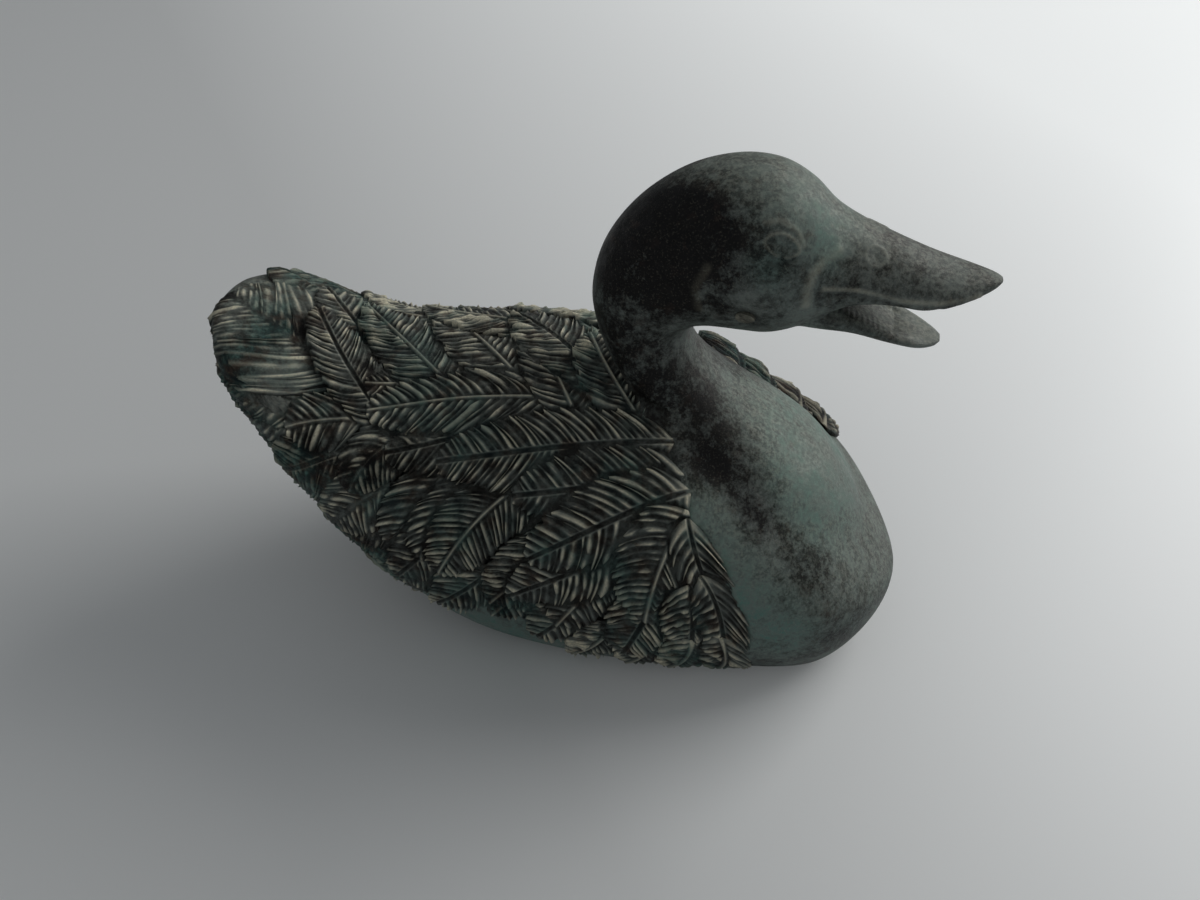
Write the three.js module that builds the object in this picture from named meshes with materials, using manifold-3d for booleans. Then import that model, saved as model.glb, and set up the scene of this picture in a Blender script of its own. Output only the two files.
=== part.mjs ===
// A small cast bronze duck at rest on a table, bill open, with a smooth head, neck and breast
// and a coat of overlapping feathers in relief on its back, sides and tail.
// Units are millimetres. +X is the way the duck faces, +Y its left and +Z up; it rests on z = 0.
import * as THREE from 'three';
import { mergeVertices } from 'three/addons/utils/BufferGeometryUtils.js';
import Module from 'manifold-3d';

const wasm = await Module();
wasm.setup();
const { Manifold, Mesh } = wasm;

// Body shape: the top, underside, half width and height of greatest width at places along the duck.
// A side fullness of 2 is an ellipse, and more is squarer.
const BODY = [
  { x: -53, top: 51, under: 43, half: 11.5, waist: 47.5, full: 2.2 },
  { x: -45, top: 47.9, under: 32, half: 16, waist: 42, full: 2.2 },
  { x: -34, top: 44, under: 18.5, half: 20.8, waist: 33, full: 2.3 },
  { x: -22, top: 43.8, under: 6, half: 24.6, waist: 26, full: 2.3 },
  { x: -8, top: 45.5, under: -3, half: 26.8, waist: 22, full: 2.4 },
  { x: 8, top: 47, under: -6, half: 27.3, waist: 20, full: 2.4 },
  { x: 22, top: 45.5, under: -6, half: 26.4, waist: 19, full: 2.4 },
  { x: 34, top: 39.5, under: -5, half: 24.6, waist: 18, full: 2.35 },
  { x: 46, top: 31, under: -4, half: 22.5, waist: 17, full: 2.3 },
  { x: 60, top: 18, under: -1, half: 16.5, waist: 13, full: 2.1 },
];
const TAIL_END = -55;
const BREAST_END = 61.2;
const TAIL_ROUND = 8;
const BREAST_ROUND = 13;

// Breast, neck, head and upper bill in one flowing form, as ribs: each is the section between a point
// on the nape or crown line and one on the throat line, with its half width. The seat is how far up
// from the throat side the rib is widest, so that the bill is flat below and rounded on top.
const RIBS = [
  { back: [24, 8], throat: [54, 6], half: 19, seat: 0.5 },
  { back: [21, 22], throat: [54.5, 21], half: 19, seat: 0.5 },
  { back: [20, 31], throat: [48.5, 32.5], half: 16.5, seat: 0.5 },
  { back: [18.5, 37], throat: [41.5, 38.8], half: 13.8, seat: 0.5 },
  { back: [15.8, 42.5], throat: [35.3, 42.8], half: 11.6, seat: 0.5 },
  { back: [13, 47.5], throat: [29.5, 46.5], half: 10, seat: 0.5 },
  { back: [10.4, 52], throat: [25.3, 50.2], half: 9.2, seat: 0.5 },
  { back: [8.4, 57], throat: [23, 54.2], half: 8.8, seat: 0.5 },
  { back: [7.6, 62.5], throat: [22.8, 57], half: 8.9, seat: 0.5 },
  { back: [9.2, 69.5], throat: [24.2, 58.6], half: 9.5, seat: 0.5 },
  { back: [13.6, 76.3], throat: [26.2, 59], half: 10.1, seat: 0.5 },
  { back: [20, 81.6], throat: [28.4, 58.9], half: 10.6, seat: 0.5 },
  { back: [26.8, 84.2], throat: [31, 58.8], half: 10.8, seat: 0.5 },
  { back: [32.6, 84.2], throat: [34.2, 59], half: 10.7, seat: 0.5 },
  { back: [37.4, 82], throat: [37.6, 60.4], half: 10, seat: 0.5 },
  { back: [41, 79], throat: [41.2, 63.2], half: 8.7, seat: 0.42 },
  { back: [44.8, 77.1], throat: [45, 66], half: 7.4, seat: 0.3 },
  { back: [49.5, 75.3], throat: [49.6, 67.2], half: 6.6, seat: 0.22 },
  { back: [55, 73.3], throat: [55, 67.2], half: 6.3, seat: 0.2 },
  { back: [59.5, 72.2], throat: [59.5, 68.3], half: 4.9, seat: 0.24 },
  { back: [63.3, 71.6], throat: [63.3, 69.7], half: 2.5, seat: 0.35 },
  { back: [65, 71.3], throat: [65, 70.7], half: 0.7, seat: 0.5 },
];
const HOLLOW_START_RIB = 0.6;
const SKULL_RIB = 14;

// The height of the crown above the table and the reach of the bill's tip. A taller duck has a longer neck,
// between the ribs at its foot and its top, and a further reach lengthens the bill from its root.
const CROWN_HEIGHT = 84.2;
const BILL_TIP = 65;
const NECK_FOOT_RIB = 5;
const NECK_TOP_RIB = 7;
const BILL_ROOT_RIB = 15;

// Lower bill, as ribs from the throat to its tip.
const JAW = [
  { back: [34, 69.2], throat: [34, 61.2], half: 7, seat: 0.5 },
  { back: [41, 67.8], throat: [41, 61.2], half: 6.8, seat: 0.5 },
  { back: [46, 65.6], throat: [46, 61], half: 6, seat: 0.6 },
  { back: [51, 63.2], throat: [51, 60], half: 5, seat: 0.65 },
  { back: [55, 61.6], throat: [55, 59.3], half: 3.9, seat: 0.65 },
  { back: [57.5, 60.8], throat: [57.5, 59.3], half: 2.3, seat: 0.6 },
  { back: [58.6, 60.4], throat: [58.6, 59.8], half: 0.9, seat: 0.5 },
];

// The brazed joint between the two castings, seen from the side: it follows the feather border
// from the back of the neck, forward round the shoulder and down to the base.
const JOINT = [
  { z: -6, x: 36 },
  { z: 8, x: 38 },
  { z: 16, x: 38.2 },
  { z: 23.6, x: 35.5 },
  { z: 30.3, x: 30 },
  { z: 39.4, x: 22.8 },
  { z: 45.8, x: 16.5 },
  { z: 48.3, x: 11 },
  { z: 54, x: 8 },
  { z: 62, x: 4 },
  { z: 100, x: -20 },
];

// Castings: the wall, the gap that the braze fills and the core opening underneath.
const WALL = 2.8;
const JOINT_GAP = 0.3;
const CAVITY_TAIL = -36;
const OPENING_CENTRE = 9;
const OPENING_LENGTH = 34;
const OPENING_WIDTH = 22;
const PLATE_THICKNESS = 1.6;
const PLATE_LEDGE = 2;
const PLATE_GAP = 0.3;

// Lower bill joint, trough and the core-pin plugs.
const JAW_JOINT = [42.5, 62];
const TROUGH_DEPTH = 1.8;
const TROUGH_LENGTH = 17;
const TROUGH_WIDTH = 7;
const TROUGH_TILT = 18;
const TROUGH_MIDDLE = [50.5, 64.4];
const PLUG_DIAMETER = 2.8;
const PLUG_DEPTH = 3.2;
const PLUG_GAP = 0.3;
const CHEEK_PLUG = { x: 30.9, z: 65.3 };
const FLANK_PLUG = { x: -13, z: 9 };

// Face: cheeks, eyes and the ring round each nostril.
const CHEEK = { x: 32.4, y: 6.6, z: 70, length: 6.6, width: 4.9, height: 6.4 };
const EYE = { rib: 13.35, turn: 0.45, length: 2.7, height: 1.4, bulge: 0.8 };
const NOSTRIL = { rib: 16.47, turn: 0.91, radius: 1.6, bead: 0.32 };

// Feathers: each is a shingle laid on the body from its root through its middle to its tip. Those points
// are places along the duck and distances down its right side from the spine, or down its left side below
// nought. The rise is how far the tip stands off the body.
const BACK_FEATHERS = [
  { root: [-31, 9], middle: [-44.5, 4], tip: [-53.2, 1.5], width: 19, rise: 0.8 },
  { root: [-21, 16], middle: [-31.2, 6.1], tip: [-40, -3.2], width: 9.5, rise: 2.3 },
  { root: [-10, 11], middle: [-24.5, -2], tip: [-33.5, -9.5], width: 11.5, rise: 1.7 },
  { root: [0.5, 9], middle: [-9.8, -1.6], tip: [-21.5, -12.5], width: 11.5, rise: 1.7 },
  { root: [12, 6], middle: [2.8, -3.1], tip: [-8, -13], width: 11.5, rise: 1.6 },
  { root: [9, 14], middle: [2, 3], tip: [-4.3, -8], width: 9, rise: 1.8 },
  { root: [20, 14], middle: [13, 5.6], tip: [6, -6], width: 10, rise: 1.7 },
];
const FLANK_FEATHERS = [
  { root: [-33, 13], middle: [-42.8, 12.4], tip: [-50.5, 11.5], width: 11, rise: 0.9 },
  { root: [7, 9.2], middle: [-9.2, 10.7], tip: [-25.2, 14.6], width: 11.5, rise: 1.5 },
  { root: [0, 13.4], middle: [-9.8, 17.6], tip: [-20.5, 20.6], width: 10, rise: 1.4 },
  { root: [-25, 15.2], middle: [-31.5, 16.9], tip: [-37, 19.5], width: 9.5, rise: 1.3 },
  { root: [20, 12.6], middle: [7.7, 17.4], tip: [-12, 21.6], width: 12, rise: 1.6 },
  { root: [21.5, 19], middle: [12.4, 22.6], tip: [0.5, 25.6], width: 11, rise: 1.5 },
  { root: [23, 20], middle: [14.6, 27.7], tip: [3.6, 35.3], width: 11.5, rise: 1.6 },
  { root: [24, 27], middle: [14.8, 33.7], tip: [0.6, 43.2], width: 11, rise: 1.5 },
  { root: [18.4, 31], middle: [13.3, 39.7], tip: [8.3, 48.6], width: 10, rise: 1.5 },
  { root: [25, 22], middle: [23.9, 31.6], tip: [22.4, 42], width: 13, rise: 1.8 },
  { root: [25.6, 22.4], middle: [31, 28], tip: [37, 32.4], width: 9, rise: 1.2 },
  { root: [-15.6, 16.6], middle: [-21.9, 20.9], tip: [-25.2, 27], width: 9.5, rise: 1.4 },
  { root: [-8, 21], middle: [-14.4, 28.8], tip: [-18, 36], width: 10.5, rise: 1.5 },
  { root: [5, 21.4], middle: [-4, 29.4], tip: [-10.5, 40], width: 11.5, rise: 1.6 },
  { root: [10.5, 31], middle: [3.5, 38.4], tip: [-2.4, 45.5], width: 11, rise: 1.5 },
  { root: [-7, 30.6], middle: [-13.3, 37], tip: [-18.4, 43], width: 10, rise: 1.4 },
  { root: [-3.4, 25], middle: [-10.2, 30.2], tip: [-13.2, 37.6], width: 9, rise: 1.4 },
  { root: [-19, 25], middle: [-25, 29.6], tip: [-29.6, 35], width: 10, rise: 1.2 },
  { root: [-26, 20.5], middle: [-33, 24], tip: [-38.6, 28], width: 10, rise: 1.1 },
  { root: [-35, 19], middle: [-41.5, 19.6], tip: [-47.5, 19.6], width: 9, rise: 0.8 },
  { root: [28.4, 32.4], middle: [29.6, 40.6], tip: [29.2, 50], width: 10, rise: 1.5 },
  { root: [24, 37], middle: [21.6, 45], tip: [18.8, 53.5], width: 10.5, rise: 1.4 },
  { root: [29.6, 30], middle: [33.4, 35], tip: [35, 44], width: 9, rise: 1.4 },
  { root: [-1, 38], middle: [-7.3, 44.6], tip: [-12.5, 49.5], width: 10, rise: 1.2 },
  { root: [12, 43], middle: [8.6, 48.6], tip: [4.5, 54], width: 9.5, rise: 1.2 },
];
const LEFT_SHOULDER_FEATHERS = [
  { root: [31, -8], middle: [28.5, -18], tip: [24.5, -30], width: 10.5, rise: 1.7 },
  { root: [36, -9], middle: [34.5, -19], tip: [31, -31], width: 9.5, rise: 1.7 },
  { root: [41, -11], middle: [39.8, -20], tip: [37, -31], width: 9, rise: 1.6 },
  { root: [45.5, -13], middle: [44.8, -20], tip: [42.5, -29], width: 7.5, rise: 1.3 },
  { root: [42, -25], middle: [42.5, -34], tip: [40.5, -43], width: 9.5, rise: 1.4 },
  { root: [37, -26], middle: [36.5, -36], tip: [34.5, -46], width: 10, rise: 1.5 },
];
const FEATHER_ROOT_LIFT = 0.1;
const FEATHER_LIFT_CURVE = 0.8;
const FEATHER_CROWN = 0.4;
const SHAFT_SHARE = 0.6;
const FEATHER_SUNK = 1.6;
const ROOT_WIDTH_SHARE = 0.62;
const ROOT_LENGTH_SHARE = 0.4;
const TIP_START_SHARE = 0.5;
const TIP_FULLNESS = 2.2;
const TIP_BLUNTNESS = 0.02;

// Downy feathers that fill the places between the others, in rows that fan out from the neck's foot.
const DOWN = { length: 22, width: 12.5, rise: 0.7, lift: -0.5 };
const DOWN_FAN = { x: 25, side: 9, start: 4, pitch: 11.5, end: 2.7 };
const DOWN_FRONT = 33;
const KEEL_CLEAR = 7;
const BASE_BAND = { rear: 12, front: 5, from: -10, to: 20 };

const BRONZE = { color: 0x3f4a43, roughness: 0.55, metalness: 0.6 };

// A value between stations, as a smooth curve through them.
function along(stations, key, at, by = 'x') {
  const last = stations.length - 1;
  let i = 0;
  while (i < last - 1 && at > stations[i + 1][by]) i += 1;
  const slope = (k) => {
    const a = stations[Math.max(k - 1, 0)];
    const b = stations[Math.min(k + 1, last)];
    return (b[key] - a[key]) / (b[by] - a[by]);
  };
  const span = stations[i + 1][by] - stations[i][by];
  const t = THREE.MathUtils.clamp((at - stations[i][by]) / span, 0, 1);
  const bend = (t ** 3 - 2 * t ** 2 + t) * slope(i) + (t ** 3 - t ** 2) * slope(i + 1);
  return THREE.MathUtils.lerp(stations[i][key], stations[i + 1][key], t * t * (3 - 2 * t)) + bend * span;
}

// Sine or cosine drawn out towards a square by the fullness.
function full(value, fullness) {
  return Math.sign(value) * Math.abs(value) ** (2 / fullness);
}

// A point of the drawn head or bill, as [x, z], where the set crown height and bill tip put it.
function posed([x, z]) {
  const reaches = RIBS.map(({ back }) => back[0]);
  const heights = RIBS.map(({ back }) => back[1]);
  const [tip, crown] = [Math.max(...reaches), Math.max(...heights)];
  const root = between(reaches, BILL_ROOT_RIB);
  const [foot, top] = [NECK_FOOT_RIB, NECK_TOP_RIB].map((rib) => between(heights, rib));
  const raised = THREE.MathUtils.clamp((z - foot) / (top - foot), 0, 1);
  const drawnOut = THREE.MathUtils.clamp((x - root) / (tip - root), 0, 1);
  return [x + raised * drawnOut * (BILL_TIP - tip), z + raised * (CROWN_HEIGHT - crown)];
}
function posedRibs(ribs) {
  return ribs.map((rib) => ({ ...rib, back: posed(rib.back), throat: posed(rib.throat) }));
}
const HEAD_RIBS = posedRibs(RIBS);
const BILL_RIBS = posedRibs(JAW);

// An inner form never gets thinner than this from its middle.
const LEAST_REACH = 0.1;

// One point of the body, from its place along the duck and the turn round its section.
// The inset keeps the same form a wall further in, and the floor cuts it off flat.
function bodyPoint(x, turn, inset, floor) {
  const tail = THREE.MathUtils.clamp((TAIL_END + TAIL_ROUND - x) / TAIL_ROUND, 0, 1);
  const breast = THREE.MathUtils.clamp((x - BREAST_END + BREAST_ROUND) / BREAST_ROUND, 0, 1);
  const close = Math.sqrt(1 - tail * tail) * Math.sqrt(1 - breast * breast);
  const [top, under, half, waist, fullness] =
    ['top', 'under', 'half', 'waist', 'full'].map((key) => along(BODY, key, x));
  const rise = full(Math.sin(turn), fullness);
  const reach = rise > 0 ? top - inset - waist : waist - under - inset;
  const y = close * (half - inset) * full(Math.cos(turn), fullness);
  const z = waist + close * Math.max(reach, LEAST_REACH) * rise;
  return new THREE.Vector3(x, y, Math.max(z, floor));
}

// A closed solid through rings of points, each ring counterclockwise seen from its far end.
function loft(rings) {
  const count = rings[0].length;
  const points = rings.flat();
  const index = [];
  for (let i = 0; i + 1 < rings.length; i += 1) {
    for (let j = 0; j < count; j += 1) {
      const a = i * count + j;
      const b = i * count + (j + 1) % count;
      index.push(a, b, b + count, a, b + count, a + count);
    }
  }
  const close = (start, flip) => {
    const centre = points.length;
    const ring = points.slice(start, start + count);
    points.push(ring.reduce((sum, p) => sum.add(p), new THREE.Vector3()).divideScalar(count));
    for (let j = 0; j < count; j += 1) {
      const a = start + j;
      const b = start + (j + 1) % count;
      index.push(centre, flip ? b : a, flip ? a : b);
    }
  };
  close((rings.length - 1) * count, false);
  close(0, true);
  const geometry = new THREE.BufferGeometry().setFromPoints(points);
  geometry.setIndex(index);
  return solid(geometry);
}

// A three.js geometry as a solid that can be joined and cut. Points closer than the weld are one point.
const WELD = 1e-5;
function solid(geometry, weld = WELD) {
  const bare = geometry.clone();
  bare.deleteAttribute('normal');
  bare.deleteAttribute('uv');
  const merged = mergeVertices(bare, weld);
  return new Manifold(new Mesh({
    numProp: 3,
    vertProperties: new Float32Array(merged.attributes.position.array),
    triVerts: new Uint32Array(merged.index.array),
  }));
}

// The body form, from the tail end to the breast, with a small flat at each end.
const END_FLAT = 0.02;
function bodyForm(inset, floor, from, steps, sides) {
  const start = Math.max(TAIL_END, from);
  const end = BREAST_END - inset;
  const rings = [];
  for (let i = 0; i <= steps; i += 1) {
    const t = THREE.MathUtils.lerp(END_FLAT, 1 - END_FLAT, i / steps);
    const x = start + (end - start) * (1 - Math.cos(Math.PI * t)) / 2;
    const ring = [];
    for (let j = 0; j < sides; j += 1) {
      ring.push(bodyPoint(x, (2 * Math.PI * j) / sides, inset, floor));
    }
    rings.push(ring);
  }
  return loft(rings);
}

// A value between ribs, as a smooth curve through them.
function between(values, at) {
  const last = values.length - 1;
  const k = Math.min(Math.floor(at), last - 1);
  const f = at - k;
  const v = (n) => values[THREE.MathUtils.clamp(n, 0, last)];
  const bend = (f ** 3 - 2 * f ** 2 + f) * (v(k + 1) - v(k - 1)) / 2
    + (f ** 3 - f ** 2) * (v(k + 2) - v(k)) / 2;
  return THREE.MathUtils.lerp(v(k), v(k + 1), f * f * (3 - 2 * f)) + bend;
}

// A point on a ribbed form: the place counts the ribs, the turn goes round from the left side.
function ribPoint(ribs, at, turn, inset) {
  const read = (pick) => between(ribs.map(pick), at);
  const back = new THREE.Vector3(read((r) => r.back[0]), 0, read((r) => r.back[1]));
  const throat = new THREE.Vector3(read((r) => r.throat[0]), 0, read((r) => r.throat[1]));
  const across = back.clone().sub(throat);
  const depth = across.length();
  across.normalize();
  const seat = read((r) => r.seat) * depth;
  const room = Math.sin(turn) > 0 ? depth - seat : seat;
  const centre = throat.addScaledVector(across, seat);
  centre.addScaledVector(across, Math.sin(turn) * Math.max(room - inset, LEAST_REACH));
  return centre.setY(Math.cos(turn) * Math.max(read((r) => r.half) - inset, LEAST_REACH));
}

// A closed solid over ribs, between two of them, each a wall further in where it is an inner form.
function ribbed(ribs, from, to, inset, steps, sides) {
  const rings = [];
  for (let i = 0; i <= steps; i += 1) {
    const at = THREE.MathUtils.lerp(from, to, i / steps);
    const ring = [];
    for (let j = 0; j < sides; j += 1) {
      ring.push(ribPoint(ribs, at, (2 * Math.PI * j) / sides, inset));
    }
    rings.push(ring);
  }
  return loft(rings);
}

// Arc length down one side of a body section, so that feathers keep their real width.
const SECTION_STEPS = 60;
function sectionArc(x) {
  const points = [];
  for (let i = 0; i <= SECTION_STEPS; i += 1) {
    points.push(bodyPoint(x, Math.PI / 2 + (Math.PI * i) / SECTION_STEPS, 0, 0));
  }
  const lengths = [0];
  for (let i = 1; i < points.length; i += 1) {
    lengths.push(lengths[i - 1] + points[i].distanceTo(points[i - 1]));
  }
  return { points, lengths };
}

// The point on the body at a place along it and a distance down its right side from the back's middle.
function onBody(x, side) {
  const { points, lengths } = sectionArc(x);
  const reach = Math.min(Math.abs(side), lengths[SECTION_STEPS] - WELD);
  let i = 0;
  while (lengths[i + 1] < reach) i += 1;
  const t = (reach - lengths[i]) / (lengths[i + 1] - lengths[i]);
  const p = points[i].clone().lerp(points[i + 1], t);
  if (side < 0) p.y = -p.y;
  return p;
}

// Half the width of a feather, as a share of its greatest, at a share of its length.
function leafShare(u) {
  const swell = THREE.MathUtils.lerp(ROOT_WIDTH_SHARE, 1, Math.min(u / ROOT_LENGTH_SHARE, 1));
  const past = Math.max(u - TIP_START_SHARE, 0) / (1 - TIP_START_SHARE);
  return swell * Math.sqrt(Math.max(1 - past ** TIP_FULLNESS, TIP_BLUNTNESS));
}

// One feather: a shingle with a rounded tip whose shaft bends from its root through its middle to its tip.
const FEATHER_ROWS = [0, 0.35, 0.65, 0.86, 1];
function feather({ root, middle, tip, width, rise }, lift, rows) {
  const [from, through, to] = [root, middle, tip].map(([x, side]) => new THREE.Vector2(x, side));
  const handle = through.clone().multiplyScalar(2).sub(from.clone().add(to).multiplyScalar(0.5));
  const shaft = new THREE.QuadraticBezierCurve(from, handle, to);
  return loft(rows.map((u) => {
    const at = shaft.getPoint(u);
    const way = shaft.getTangent(u);
    const half = (width / 2) * leafShare(u);
    const skinHeight = THREE.MathUtils.lerp(lift, rise, u ** FEATHER_LIFT_CURVE);
    const shaftHeight = skinHeight + SHAFT_SHARE * FEATHER_CROWN;
    const spot = (across, height) => offBody(at.x - across * way.y, at.y + across * way.x, height);
    const edge = shaftHeight - FEATHER_CROWN;
    return [
      spot(-half, edge),
      spot(0, shaftHeight),
      spot(half, edge),
      spot(half, -FEATHER_SUNK),
      spot(-half, -FEATHER_SUNK),
    ];
  }));
}

// A point at a height off the body's skin.
const SKIN_PROBE = 0.5;
function offBody(x, side, height) {
  const at = THREE.MathUtils.clamp(x, TAIL_END + 2 * SKIN_PROBE, BREAST_END - 2 * SKIN_PROBE);
  const p = onBody(at, side);
  const forward = onBody(at + SKIN_PROBE, side).sub(onBody(at - SKIN_PROBE, side));
  const down = onBody(at, side + SKIN_PROBE).sub(onBody(at, side - SKIN_PROBE));
  return p.addScaledVector(forward.cross(down).normalize(), -height);
}

// The whole coat: the feathers placed one by one, the flanks' on both sides, and down between them.
function plumage() {
  const placed = (list) => list.map((shape) => feather(shape, FEATHER_ROOT_LIFT, FEATHER_ROWS));
  const flank = placed(FLANK_FEATHERS);
  const down = downyRows().map((shape) => feather(shape, DOWN.lift, DOWN_ROWS));
  return [
    ...placed(BACK_FEATHERS), ...placed(LEFT_SHOULDER_FEATHERS),
    ...[...flank, ...down].flatMap((right) => [right, right.mirror([0, 1, 0])]),
  ];
}

// The down on the right side, each row's feathers over the next row's roots.
const DOWN_ROWS = [0, 0.55, 0.86, 1];
function downyRows() {
  const shapes = [];
  const rows = Math.ceil((DOWN_FAN.x - TAIL_END - DOWN_FAN.start) / DOWN_FAN.pitch);
  for (let row = 0; row < rows; row += 1) {
    const reach = DOWN_FAN.start + row * DOWN_FAN.pitch + DOWN.length / 2;
    const step = DOWN.width / reach;
    const first = -Math.asin(Math.min(DOWN_FAN.side / reach, 1));
    for (let n = row % 2 ? 0.5 : 0; first + n * step < DOWN_FAN.end; n += 1) {
      const angle = first + n * step;
      const middle = [DOWN_FAN.x - reach * Math.cos(angle), DOWN_FAN.side + reach * Math.sin(angle)];
      const heading = angle * THREE.MathUtils.clamp(middle[1] / DOWN.width, 0, 1);
      const half = [-Math.cos(heading) * DOWN.length / 2, Math.sin(heading) * DOWN.length / 2];
      const root = [middle[0] - half[0], middle[1] - half[1]];
      const tip = [middle[0] + half[0], middle[1] + half[1]];
      if (hasRoom(middle, tip)) shapes.push({ root, middle, tip, width: DOWN.width, rise: DOWN.rise });
    }
  }
  return shapes;
}

// Whether a downy feather ends on the body: above the smooth band along its base, behind the breast and
// clear of the keel.
function hasRoom(middle, tip) {
  const onDuck = tip[0] > TAIL_END + 2 * SKIN_PROBE && middle[0] < DOWN_FRONT && middle[1] >= 0;
  if (!onDuck) return false;
  const end = onBody(tip[0], tip[1]);
  const forward = THREE.MathUtils.smoothstep(tip[0], BASE_BAND.from, BASE_BAND.to);
  const band = THREE.MathUtils.lerp(BASE_BAND.rear, BASE_BAND.front, forward);
  return end.z > band && (end.y < -KEEL_CLEAR || end.z > BODY[0].under) && !covered(middle);
}

// Whether a place on the right side lies well under one of the placed feathers.
const COVER_SHARE = 0.36;
function covered([x, side]) {
  return [...BACK_FEATHERS, ...FLANK_FEATHERS].some(({ root, middle, tip, width }) => (
    [[root, middle], [middle, tip]].some(([from, to]) => {
      const line = new THREE.Line3(new THREE.Vector3(...from, 0), new THREE.Vector3(...to, 0));
      const nearest = line.closestPointToPoint(new THREE.Vector3(x, side, 0), true, new THREE.Vector3());
      return Math.hypot(nearest.x - x, nearest.y - side) < COVER_SHARE * width;
    })));
}

// Where the joint between the two castings lies at a height.
function jointAt(z) {
  return along(JOINT, 'x', z, 'z');
}

// A block on one side of the joint, larger than the duck.
const REACH = 200;
const JOINT_STEPS = 40;
function jointSide(front) {
  const low = JOINT[0].z;
  const high = JOINT[JOINT.length - 1].z;
  const far = front ? REACH : -REACH;
  const shape = new THREE.Shape();
  shape.moveTo(far, low);
  for (let i = 0; i <= JOINT_STEPS; i += 1) {
    const z = THREE.MathUtils.lerp(low, high, i / JOINT_STEPS);
    shape.lineTo(jointAt(z), z);
  }
  shape.lineTo(far, high);
  shape.closePath();
  const block = extruded(shape, 2 * REACH).rotate([90, 0, 0]).translate([0, REACH, 0]);
  return front ? block.translate([JOINT_GAP, 0, JOINT_GAP / 2]) : block;
}

// An outline in the XY plane, drawn up along Z from zero.
function extruded(shape, height, segments = 24) {
  const geometry = new THREE.ExtrudeGeometry(shape, {
    depth: height, steps: 1, bevelEnabled: false, curveSegments: segments,
  });
  return solid(geometry);
}

function oval(length, width) {
  const shape = new THREE.Shape();
  shape.absellipse(0, 0, length / 2, width / 2, 0, 2 * Math.PI, false, 0);
  return shape;
}

// The cheeks, as shallow rounded lumps on both sides.
function cheeks() {
  const lump = solid(new THREE.SphereGeometry(1, 14, 8).rotateX(Math.PI / 2))
    .scale([CHEEK.length, CHEEK.width, CHEEK.height]);
  const [x, z] = posed([CHEEK.x, CHEEK.z]);
  return [-1, 1].map((side) => lump.translate([x, side * CHEEK.y, z]));
}

// A detail made lying in the XY plane, set on the skin of the head on both sides.
const RIB_PROBE = 0.2;
const TURN_PROBE = 0.1;
function onFace({ rib, turn, ...place }, made) {
  const spot = (ribStep, turnStep) => (
    ribPoint(HEAD_RIBS, rib + ribStep * RIB_PROBE, Math.PI - turn - turnStep * TURN_PROBE, 0));
  const here = spot(0, 0);
  const forward = spot(1, 0).sub(spot(-1, 0)).normalize();
  const upward = spot(0, 1).sub(spot(0, -1)).normalize();
  const out = forward.clone().cross(upward).normalize();
  const square = out.clone().cross(forward);
  const frame = new THREE.Matrix4().makeBasis(forward, square, out).setPosition(here);
  const right = solid(made(place).applyMatrix4(frame));
  return [right, right.mirror([0, 1, 0])];
}
const eyeball = (eye) => new THREE.SphereGeometry(1, 12, 6).scale(eye.length, eye.height, eye.bulge);
const nostrilRing = (nostril) => new THREE.TorusGeometry(nostril.radius, nostril.bead, 5, 16);

// A round pin along Y through the wall on one side, from outside the duck in to a depth.
function sidePin(at, diameter, inner, side) {
  const length = REACH / 4;
  const pin = solid(new THREE.CylinderGeometry(diameter / 2, diameter / 2, length, 20));
  return pin.translate([at.x, side * (inner + length / 2), at.z]);
}

// Outer and inner forms of the whole duck.
const bodyOuter = bodyForm(0, 0, TAIL_END, 30, 30);
const bodyInner = bodyForm(WALL, WALL, CAVITY_TAIL, 16, 20);
const neckAndHead = ribbed(HEAD_RIBS, 0, RIBS.length - 1, 0, 44, 24);
const neckHollow = ribbed(HEAD_RIBS, HOLLOW_START_RIB, SKULL_RIB, WALL, 18, 14);
const neckSeat = ribbed(HEAD_RIBS, 0, SKULL_RIB, -JOINT_GAP, 30, 24);
const jawOuter = ribbed(BILL_RIBS, 0, JAW.length - 1, 0, 14, 18);
const hollow = Manifold.union([bodyInner, neckHollow]);

// The feathered casting, open in front where it meets the breast and underneath at the core opening.
const opening = extruded(oval(OPENING_LENGTH, OPENING_WIDTH), 2 * WALL)
  .translate([OPENING_CENTRE, 0, -WALL / 2]);
const rebate = extruded(
  oval(OPENING_LENGTH + 2 * PLATE_LEDGE, OPENING_WIDTH + 2 * PLATE_LEDGE), 2 * PLATE_THICKNESS)
  .translate([OPENING_CENTRE, 0, -PLATE_THICKNESS]);
const coat = Manifold.union(plumage());
const aboveTable = extruded(oval(4 * REACH, 4 * REACH), REACH);

// The body with its coat on it, without the pockets that are left under overlapping feathers.
const plumedBody = largest(Manifold.union([bodyOuter, coat]).intersect(aboveTable));
const plumedForm = plumedBody.intersect(jointSide(false)).subtract(neckSeat);
const bodyShell = plumedForm.subtract(bodyInner).subtract(opening).subtract(rebate);

// The plate that closes the core opening, let in flush with the underside.
const plateLength = OPENING_LENGTH + 2 * PLATE_LEDGE - 2 * PLATE_GAP;
const plateWidth = OPENING_WIDTH + 2 * PLATE_LEDGE - 2 * PLATE_GAP;
const basePlate = extruded(oval(plateLength, plateWidth), PLATE_THICKNESS).translate([OPENING_CENTRE, 0, 0]);

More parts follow.
